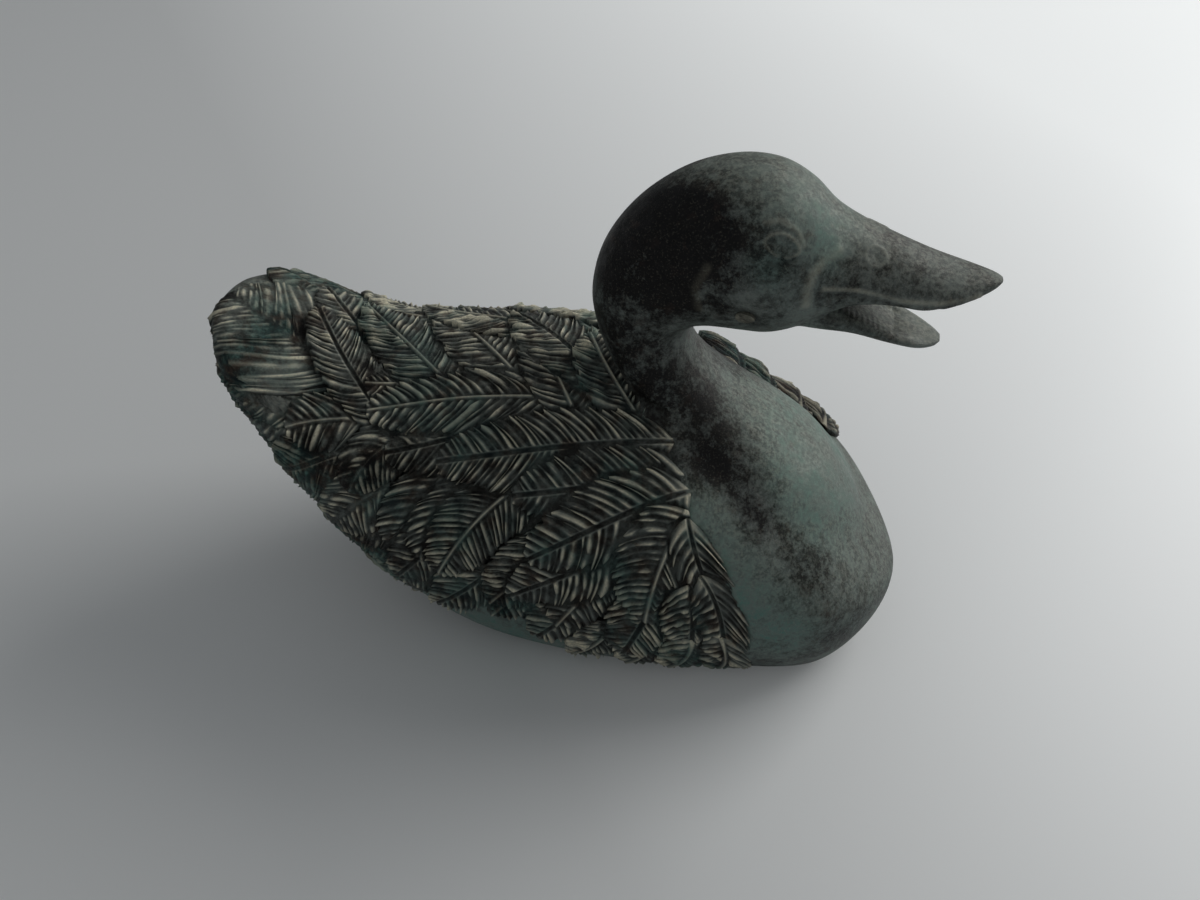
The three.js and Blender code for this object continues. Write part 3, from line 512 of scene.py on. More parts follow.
def on_skin(x, side, height):
    """Points at a height above the body's skin. A side below nought is on the duck's left."""
    start, table, out = SKIN
    u = np.clip((x - start) / SKIN_STEP, 0, table.shape[0] - 1.001)
    v = np.clip(np.abs(side) / SKIN_STEP, 0, table.shape[1] - 1.001)
    i, j = u.astype(int), v.astype(int)
    p, q = (u - i)[..., None], (v - j)[..., None]

    def blend(grid):
        low = grid[i, j] * (1 - q) + grid[i, j + 1] * q
        high = grid[i + 1, j] * (1 - q) + grid[i + 1, j + 1] * q
        return low * (1 - p) + high * p

    place, normal = blend(table), blend(out)
    normal /= np.linalg.norm(normal, axis=-1, keepdims=True)
    found = place + normal * np.asarray(height)[..., None]
    found[..., 1] *= np.where(np.asarray(side) < 0, -1, 1)
    return found


# Chasing: distance from barb to barb, rows of points on each and how its crest runs over them, depth of
# the grooves, angle of barb to shaft, and the share of shafts that are grooves.
PITCH = 1.22
ROWS_PER_BARB = 5
RIDGE = np.array([0.0, 0.12, 0.62, 1.0, 0.5])
BARB_DEPTH = 0.8
BARB_ANGLE = math.radians(51)
GROOVED = 0.6
# How barbs differ: pitch, place on the shaft, angle, height, sweep and how much shorter they end.
PITCHES, UNEVEN, ANGLES = (0.85, 1.2), 0.28, (0.86, 1.08)
HEIGHTS, SWEEP, SHORTER = (0.45, 1.15), 0.26, 0.12
# Points across half a feather: by the shaft, and steps from there along a barb.
SHAFT_COLUMNS = np.array([0.0, 0.3, 0.62, 1.0])
BARB_COLUMNS = 7
# Feathers are this much wider than they show, because others cover their edges.
WIDER = 1.1
# One feather under another: the air between them, slope of the ceiling outside the upper one, reach and
# slope of its shade, and the hidden share at which a feather is left out.
EDGE_GAP, CEILING_SLOPE, SHADE_REACH, SHADE_SLOPE, ALL_HIDDEN = 0.12, 2.4, 2.2, 1.6, 0.93
# How far the skin is sunk under the coat, and the coat's room, just inside the CAD.
SUNK = 0.85
ROOM = np.array(CAD_BOX) / MM + [(MIDDLE + 0.03, 0.03, 0.0), (MIDDLE - 0.03, -0.03, 0.0)]
# Uneven fields of wear, tone and greenness, each as a seed and the reach of its patches.
WEAR, WIDE_WEAR, TAIL_WEAR = (5, 1.6), (6, 8.0), (11, 1.3)
WIDE_TONE, FINE_TONE, WIDE_GREEN, FINE_GREEN = (7, 9.0), (8, 2.0), (9, 9.0), (10, 2.5)


def patchy(x, side, seed, reach):
    """A soft uneven field from -1 to 1 over the skin, whose patches are about a reach across."""
    rng = np.random.default_rng(seed)
    total = 0
    for _ in range(6):
        angle = rng.uniform(0, 2 * math.pi)
        phase = rng.uniform(0, 2 * math.pi)
        size = rng.uniform(0.7, 1.5)
        across = x * math.cos(angle) + side * math.sin(angle)
        total = total + np.sin(across * 3 * size / reach + phase)
    return np.clip(total / 2.6, -1, 1)


class Feather:
    """One feather laid on the skin: its shaft as a smooth line, its outline, its height and its wear."""

    def __init__(self, root, middle, tip, width, rise, low=0.1, crown=0.4, bare_root=0.8, seed=0):
        root, middle, tip = (np.array(p, float) for p in (root, middle, tip))
        bend = 2 * middle - (root + tip) / 2
        t = np.linspace(0, 1, 40)[:, None]
        self.line = (1 - t) ** 2 * root + 2 * t * (1 - t) * bend + t**2 * tip
        step = np.linalg.norm(np.diff(self.line, axis=0), axis=1)
        self.run = np.concatenate([[0], np.cumsum(step)])
        self.length = self.run[-1]
        tangent = np.gradient(self.line, axis=0)
        self.tangent = tangent / np.linalg.norm(tangent, axis=1, keepdims=True)
        self.width, self.rise = width * WIDER, rise
        self.low, self.crown, self.bare_root = low, crown, bare_root
        self.rng = np.random.default_rng(seed)
        self.order = root[0]
        tail = rising(-tip[0], 37, 15)
        low_side = rising(-tip[0], 12, 20) * rising(abs(tip[1]), 16, 10)
        self.worn = max(tail, 0.85 * low_side)
        self.depth = BARB_DEPTH * (1 - 0.68 * self.worn)

    def half_width(self, s):
        u = np.clip(s / self.length, 0, 1)
        swell = 0.62 + 0.38 * np.clip(u / 0.4, 0, 1)
        taper = np.sqrt(np.clip(1 - (np.clip(u - 0.5, 0, 1) / 0.5) ** 2.2, 0, 1))
        return np.minimum(self.width / 2 * swell * taper, 0.9 + 1.5 * np.maximum(s, 0))

    def height(self, s, share):
        """Height of the smooth feather, before the barbs are cut."""
        u = np.clip(s / self.length, 0, 1)
        return self.low + (self.rise - self.low) * u**0.8 + self.crown * (0.6 - share**2)

    def place(self, s, v):
        """Place on the skin of a point along the shaft and out from it."""
        x = np.interp(s, self.run, self.line[:, 0]) - v * np.interp(s, self.run, self.tangent[:, 1])
        side = np.interp(s, self.run, self.line[:, 1]) + v * np.interp(s, self.run, self.tangent[:, 0])
        return x, side

    def ceiling(self, x, side):
        """Greatest height of points that pass under this feather, and how far outside it they lie."""
        spot = np.stack([x, side], axis=-1)
        away = spot[..., None, :] - self.line
        near = np.argmin((away**2).sum(axis=-1), axis=-1)
        away = np.take_along_axis(away, near[..., None, None], axis=-2)[..., 0, :]
        tangent = self.tangent[near]
        s = self.run[near] + (away * tangent).sum(axis=-1)
        v = np.abs(away[..., 0] * tangent[..., 1] - away[..., 1] * tangent[..., 0])
        half = self.half_width(s)
        outside = np.maximum(v - half, np.maximum(s - self.length, -s))
        share = np.clip(v / np.maximum(half, 0.6), 0, 1)
        top = self.height(s, share) - self.depth * 0.7 - EDGE_GAP
        return top + np.maximum(outside, 0) * CEILING_SLOPE, outside


def chase_side(feather, hand, phase, start, grooved):
    """Places, heights and relief of the barbs on one side of a feather's shaft."""
    rng = feather.rng
    barbs = np.arange(int(phase[-1]) + 1)
    number = np.floor(phase).astype(int)
    ridge = RIDGE[np.arange(len(phase)) % ROWS_PER_BARB]
    fresh = 1 - 0.9 * feather.worn
    angle = BARB_ANGLE * rng.uniform(*ANGLES)
    strength = rng.uniform(*HEIGHTS, len(barbs))[number]
    sweep = 1 + np.interp(phase, barbs, rng.uniform(-SWEEP, SWEEP, len(barbs)))[:, None]
    cut_short = rng.uniform(0, SHORTER, len(barbs))[number] * fresh

    def drawn_out(t):
        bent = t * math.cos(angle) * sweep * (0.6 + 0.8 * t / feather.width)
        return np.minimum(start[:, None] + bent, feather.length)

    reach = np.broadcast_to(np.linspace(0, feather.width * 0.8, 60), (len(start), 60))
    inside = reach * math.sin(angle) <= feather.half_width(drawn_out(reach))
    last = reach[0, np.maximum(inside.cumprod(axis=1).sum(axis=1) - 1, 0)]
    last = last * (1 - 0.12 * fresh * (1 - ridge) - cut_short) + 0.02
    near = np.minimum(SHAFT_COLUMNS, last[:, None] * np.linspace(0, 0.6, len(SHAFT_COLUMNS)))
    outer = near[:, -1:] + (last[:, None] - near[:, -1:]) * np.linspace(0, 1, BARB_COLUMNS + 1)[1:]
    t = np.concatenate([near, outer], axis=1)
    s, v = drawn_out(t), t * math.sin(angle)
    share = np.clip(v / np.maximum(feather.half_width(s), 0.6), 0, 1)
    x, side = feather.place(s, hand * v)
    wear = 0.8 + 0.38 * patchy(x, side, *WEAR) + 0.2 * patchy(x, side, *WIDE_WEAR)
    wear = wear + 0.8 * feather.worn * patchy(x, side, *TAIL_WEAR)
    crest = (ridge * strength)[:, None] * wear * rising(v, 0.3, 0.45)
    root = np.clip(1 - s / 4, 0, 1) * feather.bare_root
    crest = crest * (1 - root) + 0.75 * root
    middle = np.clip(1 - v / 0.5, 0, 1)
    height = feather.height(s, share) + feather.depth * (crest - 0.95)
    # The relief sets the colour: crests and raised shafts get dust with a painted highlight, grooves and
    # shaft sides dark patina with painted shade.
    relief = 0.06 + (0.92 - 0.12 * feather.worn) * crest + 0.22 * feather.worn * (1 - crest)
    if grooved:
        lip = np.exp(-((v - 0.4) / 0.18) ** 2) * (1 - crest)
        height += 0.2 * lip - 0.25 * middle
        relief += 0.45 * lip - 0.3 * middle
    else:
        beside = np.exp(-((v - 0.62) / 0.25) ** 2)
        height += 0.5 * middle * (1 - root) * (1 - feather.worn) - 0.1 * beside
        relief += (0.7 * middle - 0.1 * beside) * (1 - feather.worn)
    return x, side, height, relief


def tuck_under(feather, covers, x, side, height, relief):
    """Pushes a feather down where others cover it, and says where it is hidden."""
    hidden = np.zeros(x.shape, bool)
    for cover in covers:
        apart = np.linalg.norm(cover.line[20] - feather.line[20])
        if apart > (cover.length + feather.length) / 2 + 12:
            continue
        top, outside = cover.ceiling(x, side)
        close = outside < SHADE_REACH
        shade = 0.05 + 0.4 * cover.worn + SHADE_SLOPE * np.maximum(outside, 0)
        relief = np.where(close, np.minimum(relief, shade), relief)
        height = np.where(close, np.minimum(height, top), height)
        hidden |= outside < 0
    return height, relief, hidden


def lay_feather(feather, covers):
    """Rings of points with their relief, tone and greenness for one feather, tucked under its covers."""
    rng = feather.rng
    pitch = PITCH * rng.uniform(*PITCHES) * (1 - 0.15 * feather.worn)
    barbs = max(int(feather.length / pitch), 5)
    phase = np.arange(barbs * ROWS_PER_BARB + 1) / ROWS_PER_BARB
    knots = np.linspace(0, 1, barbs + 1) * feather.length * 0.985
    knots[1:-1] += rng.uniform(-UNEVEN, UNEVEN, barbs - 1) * feather.length / barbs
    start = np.interp(phase, np.arange(barbs + 1), knots)
    grooved = rng.random() < GROOVED
    sides = [chase_side(feather, hand, phase, start, grooved) for hand in (-1, 1)]
    x, side, height, relief = (np.concatenate([a[:, ::-1], b[:, 1:]], axis=1) for a, b in zip(*sides))
    height, relief, hidden = tuck_under(feather, covers, x, side, height, relief)
    if hidden.mean() > ALL_HIDDEN:
        return None
    height = np.maximum(height, -SUNK - 0.3)
    ends = [-1, 0]
    top = on_skin(x, side, height)
    under = on_skin(x[:, ends], side[:, ends], np.minimum(height[:, ends] - 0.3, -SUNK - 0.4))
    rings = np.clip(np.concatenate([top, under], axis=1), *ROOM)
    tone = 0.8 + rng.uniform(-0.15, 0.15) + 0.25 * np.clip(1 - start / 9, 0, 1)[:, None]
    tone = tone + 0.3 * patchy(x, side, *WIDE_TONE) + 0.12 * patchy(x, side, *FINE_TONE)
    far_shoulder = feather.line[0, 1] < 0 and feather.order > 30
    tone = tone - 0.42 * feather.worn + 0.2 * (feather.order > 16) - 0.9 * far_shoulder
    green = 0.34 + rng.uniform(-0.15, 0.15) + 0.3 * feather.worn
    green = green + 0.6 * patchy(x, side, *WIDE_GREEN) + 0.3 * patchy(x, side, *FINE_GREEN)
    tone, green = (np.concatenate([value, value[:, ends]], axis=1) for value in (tone, green))
    return rings, np.concatenate([relief, np.zeros((len(x), 2))], axis=1), tone, green


def coat(name, feathers, material):
    """One piece of many feathers, each a closed shell."""
    places, faces, kept, first = [], [], [], 0
    for rings, *values in feathers:
        count, sides = rings.shape[:2]
        faces += shell_faces(count, sides, first)
        places.append(rings.reshape(-1, 3))
        kept.append([value.ravel() for value in values])
        first += count * sides
    piece = new_piece(name, to_metres(np.concatenate(places)), faces)
    select(piece)
    bpy.ops.object.mode_set(mode="EDIT")
    bpy.ops.mesh.select_all(action="SELECT")
    bpy.ops.mesh.normals_make_consistent(inside=False)
    bpy.ops.object.mode_set(mode="OBJECT")
    relief, tone, green = (np.concatenate(column) for column in zip(*kept))
    keep(piece.data, relief=relief, tone=tone, green=green, **dusted_and_top_lit(piece.data))
    finish_piece(piece, material, "patina")


# Rows of small feathers: start of the fan, number, distance, turn at which one ends, and their size.
FAN_X, FAN_SIDE, FAN_ROWS, FAN_PITCH, FAN_TURN = 25, 9, 9, 9.0, 2.7
SMALL_WIDTH, SMALL_LENGTH = 11.5, 19.0


def under_coat():
    """Rows of small feathers that fan out from the foot of the neck, under the ones listed one by one."""
    made = []
    seed = ROWS_SEED
    for row in range(FAN_ROWS):
        middle = 3 + row * FAN_PITCH + SMALL_LENGTH / 2
        step = SMALL_WIDTH * 0.92 / middle
        first = -math.asin(min(FAN_SIDE / middle, 1))
        n = 0.5 if row % 2 else 0.0
        while first + n * step < FAN_TURN:
            angle = first + n * step
            n += 1
            seed += 1
            side = FAN_SIDE + middle * math.sin(angle)
            x = FAN_X - middle * math.cos(angle)
            heading = angle * rising(side, 0, SMALL_WIDTH)
            points = []
            for share in (-0.5, 0, 0.5):
                run = share * SMALL_LENGTH
                points.append((x - run * math.cos(heading), side + run * math.sin(heading)))
            tip_height = on_skin(*np.array(points[2]), np.array(0.0))[2]
            lowest = 12 - 11.6 * rising(x, -8, 22)
            in_place = points[2][0] >= TAIL_END + 1 and 0 <= side and x <= 20 + 0.1 * side
            if in_place and tip_height >= lowest:
                made.append((points, seed))
    return made


def mirrored(points):
    """Places on the duck's other side."""
    return [(x, -side) for x, side in points]


def all_feathers():
    """Every feather with its piece's name, the uppermost first."""
    placed = []
    for n, f in enumerate(BACK):
        placed.append(("back_feathers", Feather(*f, crown=0.2, bare_root=0.4, seed=BACK_SEED + n)))
    for n, f in enumerate(FLANK):
        placed.append(("right_flank_feathers", Feather(*f, seed=RIGHT_SEED + n)))
        placed.append(("left_flank_feathers", Feather(*mirrored(f[:3]), *f[3:], seed=LEFT_SEED + n)))
    for n, f in enumerate(LEFT_SHOULDER):
        placed.append(("left_flank_feathers", Feather(*f, low=0.4, crown=1.0, seed=SHOULDER_SEED + n)))
    placed.sort(key=lambda each: -each[1].order)
    for name, hand in (("right_under_feathers", 1), ("left_under_feathers", -1)):
        for points, seed in under_coat():
            ends = points if hand > 0 else mirrored(points)
            placed.append((name, Feather(*ends, SMALL_WIDTH, 0.9, low=0.3, bare_root=0.0, seed=seed)))
    return placed


# How far round a feather is searched, the depth where none is, and how near the skin is to the form.
SEARCH, NOWHERE, ON_BODY = 8, -9.0, 2.5


def under_plumage(points):
    """How deep each point of the body's skin lies inside the outline of the feathers."""
    start, table, _ = SKIN
    rows, columns = (SKIN_STEP * np.arange(size) for size in table.shape[:2])
    x, side = np.meshgrid(start + rows, columns, indexing="ij")
    depth = {hand: np.full(x.shape, NOWHERE) for hand in (-1, 1)}
    for _, feather in all_feathers():
        low, high = feather.line.min(axis=0) - SEARCH, feather.line.max(axis=0) + SEARCH
        for hand, inside in depth.items():
            down = hand * side
            near = (x > low[0]) & (x < high[0]) & (down > low[1]) & (down < high[1])
            if near.any():
                inside[near] = np.maximum(inside[near], -feather.ceiling(x[near], down[near])[1])
    row = np.clip(np.rint((points[:, 0] - start) / SKIN_STEP).astype(int), 0, table.shape[0] - 1)
    found = np.empty(len(points))
    for part in np.array_split(np.arange(len(points)), 40):
        spot = np.column_stack([-np.abs(points[part, 1]), points[part, 2]])
        away = np.linalg.norm(table[row[part]][:, :, 1:] - spot[:, None], axis=2)
        column = away.argmin(axis=1)
        on_right = points[part, 1] < 0
        inside = np.where(on_right, depth[1][row[part], column], depth[-1][row[part], column])
        found[part] = np.where(away.min(axis=1) < ON_BODY, inside, NOWHERE)
    return found


def colour_setting(name, description, *rgb):
    """A colour that the panel shows."""
    return bpy.props.FloatVectorProperty(
        name=name, description=description, subtype="COLOR", size=4, min=0, max=1, default=(*rgb, 1))


class DuckFinish(bpy.types.PropertyGroup):
    """Colours of the patinated bronze."""
    bronze: colour_setting("Bronze", "Dark bronze in the hollows", 0.007, 0.0065, 0.0066)
    patina: colour_setting("Patina", "Grey-green patina", 0.172, 0.196, 0.18)
    verdigris: colour_setting("Verdigris", "Blue-green bloom", 0.1, 0.215, 0.185)
    rust: colour_setting("Rust brown", "Red-brown spots", 0.06, 0.033, 0.022)
    # The dust colour is also the painted highlight on the crests and the painted light on faces that look
    # up.
    dust_and_light: colour_setting("Dust", "Dusty beige on the raised barbs", 0.98, 0.92, 0.7)
    rubbed: colour_setting("Rubbed bronze", "Bare bronze of the plugs and base plate", 0.24, 0.235, 0.19)


class DuckStage(bpy.types.PropertyGroup):
    """Floor and light."""
    floor: colour_setting("Floor", "Pale floor", 0.84, 0.845, 0.83)
    # Painted window light: how much the floor glows for the camera, brighter towards the window.
    painted_window_light: bpy.props.FloatProperty(
        name="Floor glow", description="How much brighter the floor looks towards the window",
        min=0, default=0.32)
    key: bpy.props.FloatProperty(
        name="Key light", description="Power of the window light", subtype="POWER", min=0, default=3.0)


class Nodes:
    """A material's node tree, laid out by plain calls."""

    def __init__(self, name):
        self.material = bpy.data.materials.new(name)
        self.material.use_nodes = True
        self.tree = self.material.node_tree
        self.shader = self.tree.nodes["Principled BSDF"]

    def add(self, kind, **settings):
        node = self.tree.nodes.new("ShaderNode" + kind)
        for key, value in settings.items():
            setattr(node, key, value)
        return node

    def feed(self, node, inputs):
        """Links sockets to a node's inputs, and sets the rest to plain values."""
        for key, value in inputs.items():
            if isinstance(value, bpy.types.NodeSocket):
                self.tree.links.new(value, node.inputs[key])
            else:
                node.inputs[key].default_value = value
        return node

    def noise(self, coordinates, scale, detail, rough, low, high):
        inputs = {"Vector": coordinates, "Scale": scale, "Detail": detail, "Roughness": rough}
        return self.ramp(self.feed(self.add("TexNoise"), inputs).outputs["Fac"], low, high)

    def ramp(self, value, low, high, to_low=0.0, to_high=1.0):
        inputs = {"Value": value, "From Min": low, "From Max": high, "To Min": to_low, "To Max": to_high}
        return self.feed(self.add("MapRange"), inputs).outputs["Result"]

    def times(self, a, b, operation="MULTIPLY"):
        return self.feed(self.add("Math", operation=operation), {0: a, 1: b}).outputs[0]

    def sum(self, a, b):
        return self.times(a, b, "ADD")

    def mix(self, factor, under, over):
        mixer = self.add("Mix", data_type="RGBA")
        return self.feed(mixer, {0: factor, 6: under, 7: over}).outputs[2]


# Blacks of the hollows: dark patina and painted shade.
WARM_PATINA_AND_SHADE, GREEN_PATINA_AND_SHADE = (0.006, 0.005, 0.004, 1), (0.003, 0.012, 0.014, 1)


def patina_material(name, chased=0.0, plain=False):
    """Dark bronze under a grey-green patina, with bloom, brown spots, crests of dust and painted
    highlight, and dark hollows of patina and painted shade.
    """
    finish = bpy.context.scene.duck_finish
    nodes = Nodes(name)
    place = nodes.add("TexCoord").outputs["Object"]
    place = nodes.feed(nodes.add("Mapping"), {"Vector": place, "Scale": [1 / MM] * 3}).outputs["Vector"]
    clouds = nodes.noise(place, 0.11, 6, 0.62, 0.38, 0.64)
    blotches = nodes.noise(place, 0.42, 8, 0.7, 0.42, 0.6)
    mottles = nodes.noise(place, 1.5, 6, 0.75, 0.44, 0.6)
    speckle = nodes.noise(place, 3.4, 3, 0.6, 0.56, 0.68)
    cover = nodes.sum(nodes.times(clouds, 0.4), nodes.times(blotches, 0.48))
    cover = nodes.sum(cover, nodes.times(mottles, 0.28))
    if not plain:
        relief, tone, green, dust_and_light = (
            nodes.add("Attribute", attribute_name=key).outputs["Fac"]
            for key in ("relief", "tone", "green", "dust_and_light"))
        # The tone, which also holds painted shade and light, thins or thickens the patina.
        cover = nodes.sum(cover, nodes.ramp(tone, 0.0, 1.0, -0.83, 0.67))
    pale = finish.rubbed if plain else finish.patina
    colour = nodes.mix(nodes.ramp(cover, 0.0, 0.82), finish.bronze, pale)
    if not plain:
        bloom = nodes.times(nodes.ramp(green, 0.2, 1.0), nodes.sum(0.4, nodes.times(mottles, 0.6)))
        bloom = nodes.times(bloom, nodes.sum(0.4, nodes.times(blotches, 0.6)))
        colour = nodes.mix(bloom, colour, finish.verdigris)
    brown = nodes.noise(place, 0.33, 5, 0.6, 0.58 - 0.08 * chased, 0.72 - 0.08 * chased)
    colour = nodes.mix(nodes.times(brown, 0.3 + 0.5 * chased), colour, finish.rust)
    colour = nodes.mix(nodes.times(speckle, 0.05 + 0.03 * chased), colour, finish.dust_and_light)
    if not plain:
        # Dust and painted light on faces that look up, more where the tone is lighter.
        dust_and_top_light = nodes.times(nodes.ramp(dust_and_light, 0.1, 0.95), nodes.sum(0.04, nodes.times(mottles, 0.12)))
        colour = nodes.mix(nodes.times(dust_and_top_light, nodes.ramp(tone, 0.2, 0.6)), colour, finish.dust_and_light)
        # Crests get the dust colour, greener on green patina: partly dust, partly a painted highlight,
        # stronger on top faces and lighter tone.
        greenish = nodes.ramp(green, 0.5, 1.0, 0.0, 0.6)
        crest = nodes.mix(greenish, finish.dust_and_light, finish.verdigris)
        high = nodes.ramp(relief, 0.52 - 0.08 * chased, 0.9 - 0.08 * chased)
        broken = nodes.noise(place, 2.6, 5, 0.8, 0.32, 0.56)
        high = nodes.times(high, nodes.sum(0.4, nodes.times(broken, 0.6)))
        high = nodes.times(high, nodes.ramp(tone, 0.25, 0.75, 0.35, 1.0))
        colour = nodes.mix(nodes.times(high, nodes.ramp(dust_and_light, -0.3, 0.5, 0.3, 1.0)), colour, crest)
        # Low relief turns black: dark patina in the grooves and under the feathers, together with painted
        # shade there.
        deep = nodes.ramp(relief, 0.45 + 0.05 * chased, 0.08 + 0.1 * chased, 0.0, 0.92)
        deep = nodes.times(deep, nodes.ramp(blotches, 0.0, 1.0, 1.0, 0.6))
        black = nodes.mix(nodes.ramp(green, 0.3, 1.0), WARM_PATINA_AND_SHADE, GREEN_PATINA_AND_SHADE)
        colour = nodes.mix(deep, colour, black)
    grain = {
        "Strength": 0.4 + 0.3 * chased,
        "Distance": 0.00012 + 0.0002 * chased,
        "Height": nodes.noise(place, 2.3, 7, 0.8, 0.2, 0.8),
    }
    nodes.feed(nodes.shader, {
        "Base Color": colour,
        "Roughness": nodes.ramp(blotches, 0, 1, 0.46, 0.66),
        "Metallic": 0.2,
        "Specular IOR Level": 0.22,
        "Normal": nodes.feed(nodes.add("Bump"), grain).outputs["Normal"],
    })
    return nodes.material


class OBJECT_OT_duck_body_skin(bpy.types.Operator):
    """Model the skin of the body under the feathers, with the breast and the foot of the neck"""
    bl_idname = "object.duck_body_skin"
    bl_label = "Body Skin"

    def execute(self, context):
        skin = whole_skin("body_skin", grain=0.55, rounds=60)
        cut_level(skin, NECK_CUT, above=False)
        points = points_of(skin.data)
        points[:, 2] = np.maximum(points[:, 2], 0)
        covered = rising(under_plumage(points), 0.6, 1.2)
        points -= normals_of(skin.data) * (SUNK * covered)[:, None]
        points[:, 2] = np.maximum(points[:, 2], 0)
        # Where feathers cover the skin its relief drops: painted shade under the coat.
        keep(skin.data, relief=FLAT - 0.34 * covered, **patched(points), **dusted_and_top_lit(skin.data))
        put_points(skin.data, to_metres(points))
        finish_piece(skin, patina_material("breast_patina"), "patina", "body_casting")
        return {"FINISHED"}


class OBJECT_OT_duck_head(bpy.types.Operator):
    """Model the neck, head and upper bill, and carve the face"""
    bl_idname = "object.duck_head"
    bl_label = "Neck And Head"

    def execute(self, context):
        head = whole_skin("neck_and_head", grain=0.3, rounds=40)
        cut_level(head, NECK_CUT, above=True)
        carve_head(head.data)
        put_points(head.data, to_metres(points_of(head.data)))
        finish_piece(head, patina_material("head_patina"), "patina", "front_casting")
        return {"FINISHED"}


# Depth of the lower bill's trough, and the pitch and depth of the fine ribs in it.
TROUGH, COMB_PITCH, COMB_DEPTH = 0.9, 0.8, 0.06


class OBJECT_OT_duck_lower_bill(bpy.types.Operator):
    """Model the lower bill with its trough and the fine ribs inside it"""
    bl_idname = "object.duck_lower_bill"
    bl_label = "Lower Bill"

    def execute(self, context):
        turn = np.linspace(0, 2 * np.pi, 64, endpoint=False)
        at = np.linspace(JAW_START, len(JAW) - 1, 130)
        bill = loft("lower_bill_cast", rib_point(JAW, at[:, None], turn[None, :]))
        points = points_of(bill.data)
        x, y, z = points.T
        across = np.abs(y) / np.maximum(np.interp(x, JAW[:, 0], JAW[:, 4]), 0.5)
        up = z > np.interp(x, JAW[:, 0], (JAW[:, 1] + JAW[:, 3]) / 2)
        inner = up * np.clip((0.9 - across) / 0.4, 0, 1) * np.clip((57.8 - x) / 6, 0, 1)
        wall = up * np.exp(-((across - 0.62) / 0.25) ** 2) * np.clip((53 - x) / 3, 0, 1)
        comb = wall * np.cos(2 * np.pi * x / COMB_PITCH)
        points[:, 2] -= inner * inner * TROUGH - COMB_DEPTH * comb
        # Painted shade inside the lower bill towards the mouth corner, and painted light and shade on the
        # fine ribs.
        relief = FLAT - 0.2 * up * np.clip((53 - x) / 9, 0, 1) + 0.15 * comb
        keep(bill.data, relief=relief, **patched(points), **dusted_and_top_lit(bill.data))
        put_points(bill.data, to_metres(points))
        finish_piece(bill, bpy.data.materials["head_patina"], "patina", "lower_bill")
        return {"FINISHED"}


class OBJECT_OT_duck_plumage(bpy.types.Operator):
    """Lay the chased feathers on the back, sides and tail"""
    bl_idname = "object.duck_plumage"
    bl_label = "Plumage"

    def execute(self, context):
        material = patina_material("plumage_patina", chased=1.0)
        placed = all_feathers()
        made = {name: [] for name, _ in placed}
        above = []
        for name, feather in placed:
            laid = lay_feather(feather, above)
            if laid:
                made[name].append(laid)
                above.append(feather)
        for name, laid in made.items():
            coat(name, laid, material)
        return {"FINISHED"}


class OBJECT_OT_duck_fittings(bpy.types.Operator):
    """Give the base plate and the plugs their finish"""
    bl_idname = "object.duck_fittings"
    bl_label = "Base Plate And Plugs"

    def execute(self, context):
        material = patina_material("plug_patina", plain=True)
        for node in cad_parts.values():
            if not node.hide_render:
                node.data.materials.clear()
                node.data.materials.append(material)
        return {"FINISHED"}


def aim(thing, place, at, roll=0.0):
    """Puts a camera or lamp at a place and points it."""
    thing.location = place
    look = (Vector(at) - Vector(place)).to_track_quat("-Z", "Y").to_matrix()
    thing.rotation_euler = (look @ Matrix.Rotation(math.radians(roll), 3, "Z")).to_euler()


# The photo's camera, fitted to the outline of the duck: metres, degrees and millimetres.
CAMERA_PLACE, CAMERA_TARGET = (0.030201, -0.142368, 0.15713), (0.0048165, -0.0027143, 0.0308264)
CAMERA_ROLL, LENS, SENSOR_WIDTH = 1.892, 34.5, 36


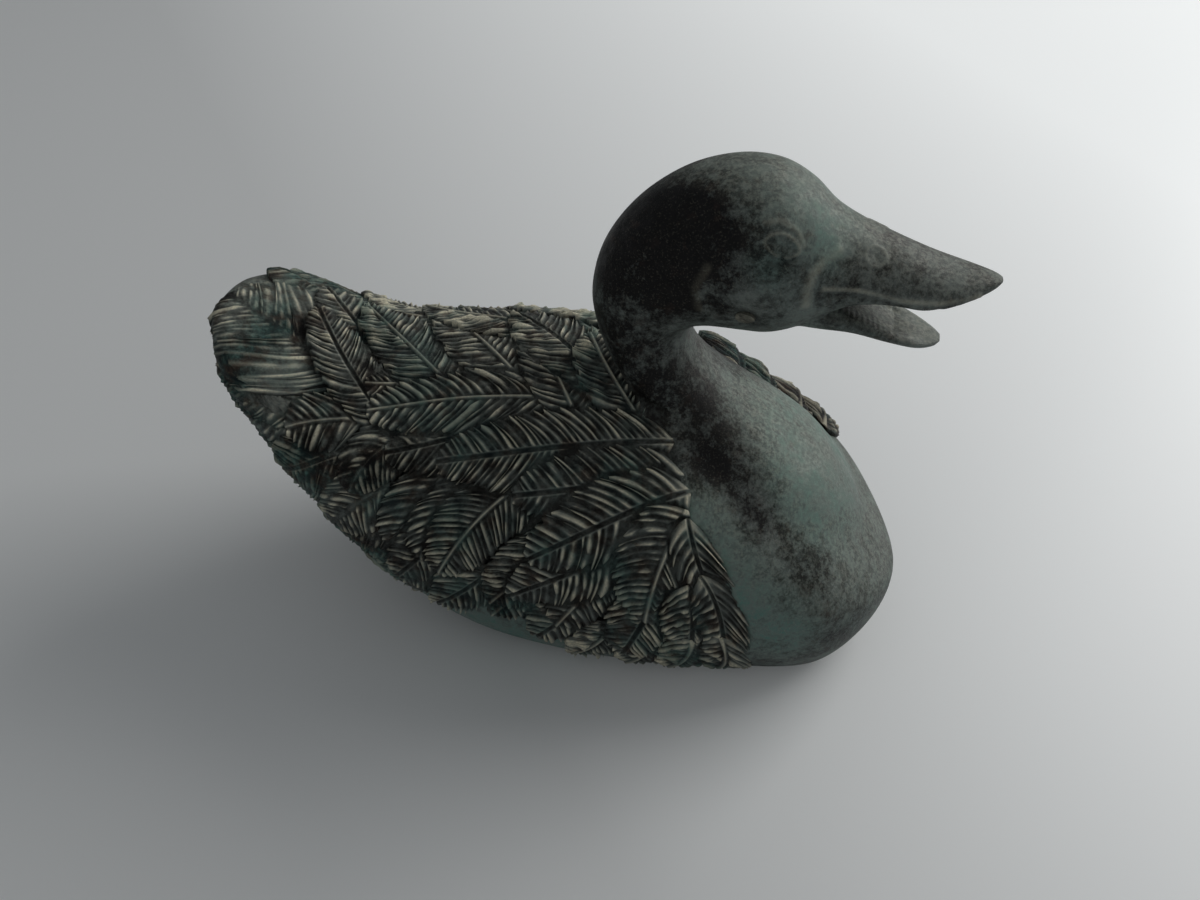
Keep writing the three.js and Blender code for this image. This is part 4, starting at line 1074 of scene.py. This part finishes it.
class OBJECT_OT_duck_stage(bpy.types.Operator):
    """Set up the floor, the soft light and the camera"""
    bl_idname = "object.duck_stage"
    bl_label = "Stage"

    def execute(self, context):
        stage = context.scene.duck_stage
        bpy.ops.object.select_all(action="DESELECT")
        bpy.ops.mesh.primitive_plane_add(size=6, location=(0, 0, 0))
        floor = context.active_object
        floor.name = "floor"
        nodes = Nodes("floor_paint")
        turned = nodes.feed(nodes.add("Mapping"), {
            "Vector": nodes.add("TexCoord").outputs["Object"],
            "Rotation": (0, 0, math.radians(-38)),
        })
        ahead = nodes.feed(nodes.add("SeparateXYZ"), {"Vector": turned.outputs["Vector"]})
        seen = nodes.add("LightPath").outputs["Is Camera Ray"]
        # Painted window light on the floor: a glow for camera rays only, brighter towards the window.
        painted_window_light = nodes.times(nodes.ramp(ahead.outputs["X"], -0.02, 0.22), seen)
        nodes.feed(nodes.shader, {
            "Base Color": stage.floor,
            "Roughness": 0.4,
            "Emission Color": (0.97, 1, 1, 1),
            "Emission Strength": nodes.times(painted_window_light, stage.painted_window_light),
        })
        floor.data.materials.append(nodes.material)
        for name, place, size, power in (
            ("window", (0.5, 0.45, 0.42), 0.55, stage.key),
            ("room", (-0.3, -0.6, 0.8), 0.9, stage.key * 0.12),
        ):
            bpy.ops.object.light_add(type="AREA")
            lamp = context.active_object
            lamp.name = name
            lamp.data.size = size
            lamp.data.energy = power
            aim(lamp, place, (0, 0, 0.03))
        world = bpy.data.worlds.new("room_light")
        world.use_nodes = True
        sky = world.node_tree.nodes["Background"]
        sky.inputs["Color"].default_value = (0.9, 0.95, 1, 1)
        sky.inputs["Strength"].default_value = 0.2
        context.scene.world = world
        bpy.ops.object.camera_add()
        camera = context.active_object
        camera.name = "photo_camera"
        camera.data.lens = LENS
        camera.data.sensor_width = SENSOR_WIDTH
        aim(camera, CAMERA_PLACE, CAMERA_TARGET, CAMERA_ROLL)
        context.scene.camera = camera
        context.scene.view_settings.view_transform = "Standard"
        return {"FINISHED"}


OPERATORS = (
    OBJECT_OT_duck_body_skin,
    OBJECT_OT_duck_head,
    OBJECT_OT_duck_lower_bill,
    OBJECT_OT_duck_plumage,
    OBJECT_OT_duck_fittings,
    OBJECT_OT_duck_stage,
)


class VIEW3D_PT_duck(bpy.types.Panel):
    """The duck's steps and finish in the sidebar."""
    bl_label = "Bronze Duck"
    bl_space_type = "VIEW_3D"
    bl_region_type = "UI"
    bl_category = "Bronze Duck"

    def draw(self, context):
        column = self.layout.column()
        for step in OPERATORS:
            column.operator(step.bl_idname)
        for group in (context.scene.duck_finish, context.scene.duck_stage):
            for key in group.__annotations__:
                column.prop(group, key)


CLASSES = (DuckFinish, DuckStage, *OPERATORS, VIEW3D_PT_duck)


def register():
    for each in CLASSES:
        bpy.utils.register_class(each)
    bpy.types.Scene.duck_finish = bpy.props.PointerProperty(type=DuckFinish)
    bpy.types.Scene.duck_stage = bpy.props.PointerProperty(type=DuckStage)


def unregister():
    del bpy.types.Scene.duck_stage
    del bpy.types.Scene.duck_finish
    for each in reversed(CLASSES):
        bpy.utils.unregister_class(each)


def main():
    register()
    bpy.ops.object.duck_body_skin()
    bpy.ops.object.duck_head()
    bpy.ops.object.duck_lower_bill()
    bpy.ops.object.duck_plumage()
    bpy.ops.object.duck_fittings()
    bpy.ops.object.duck_stage()


if __name__ == "__main__":
    main()
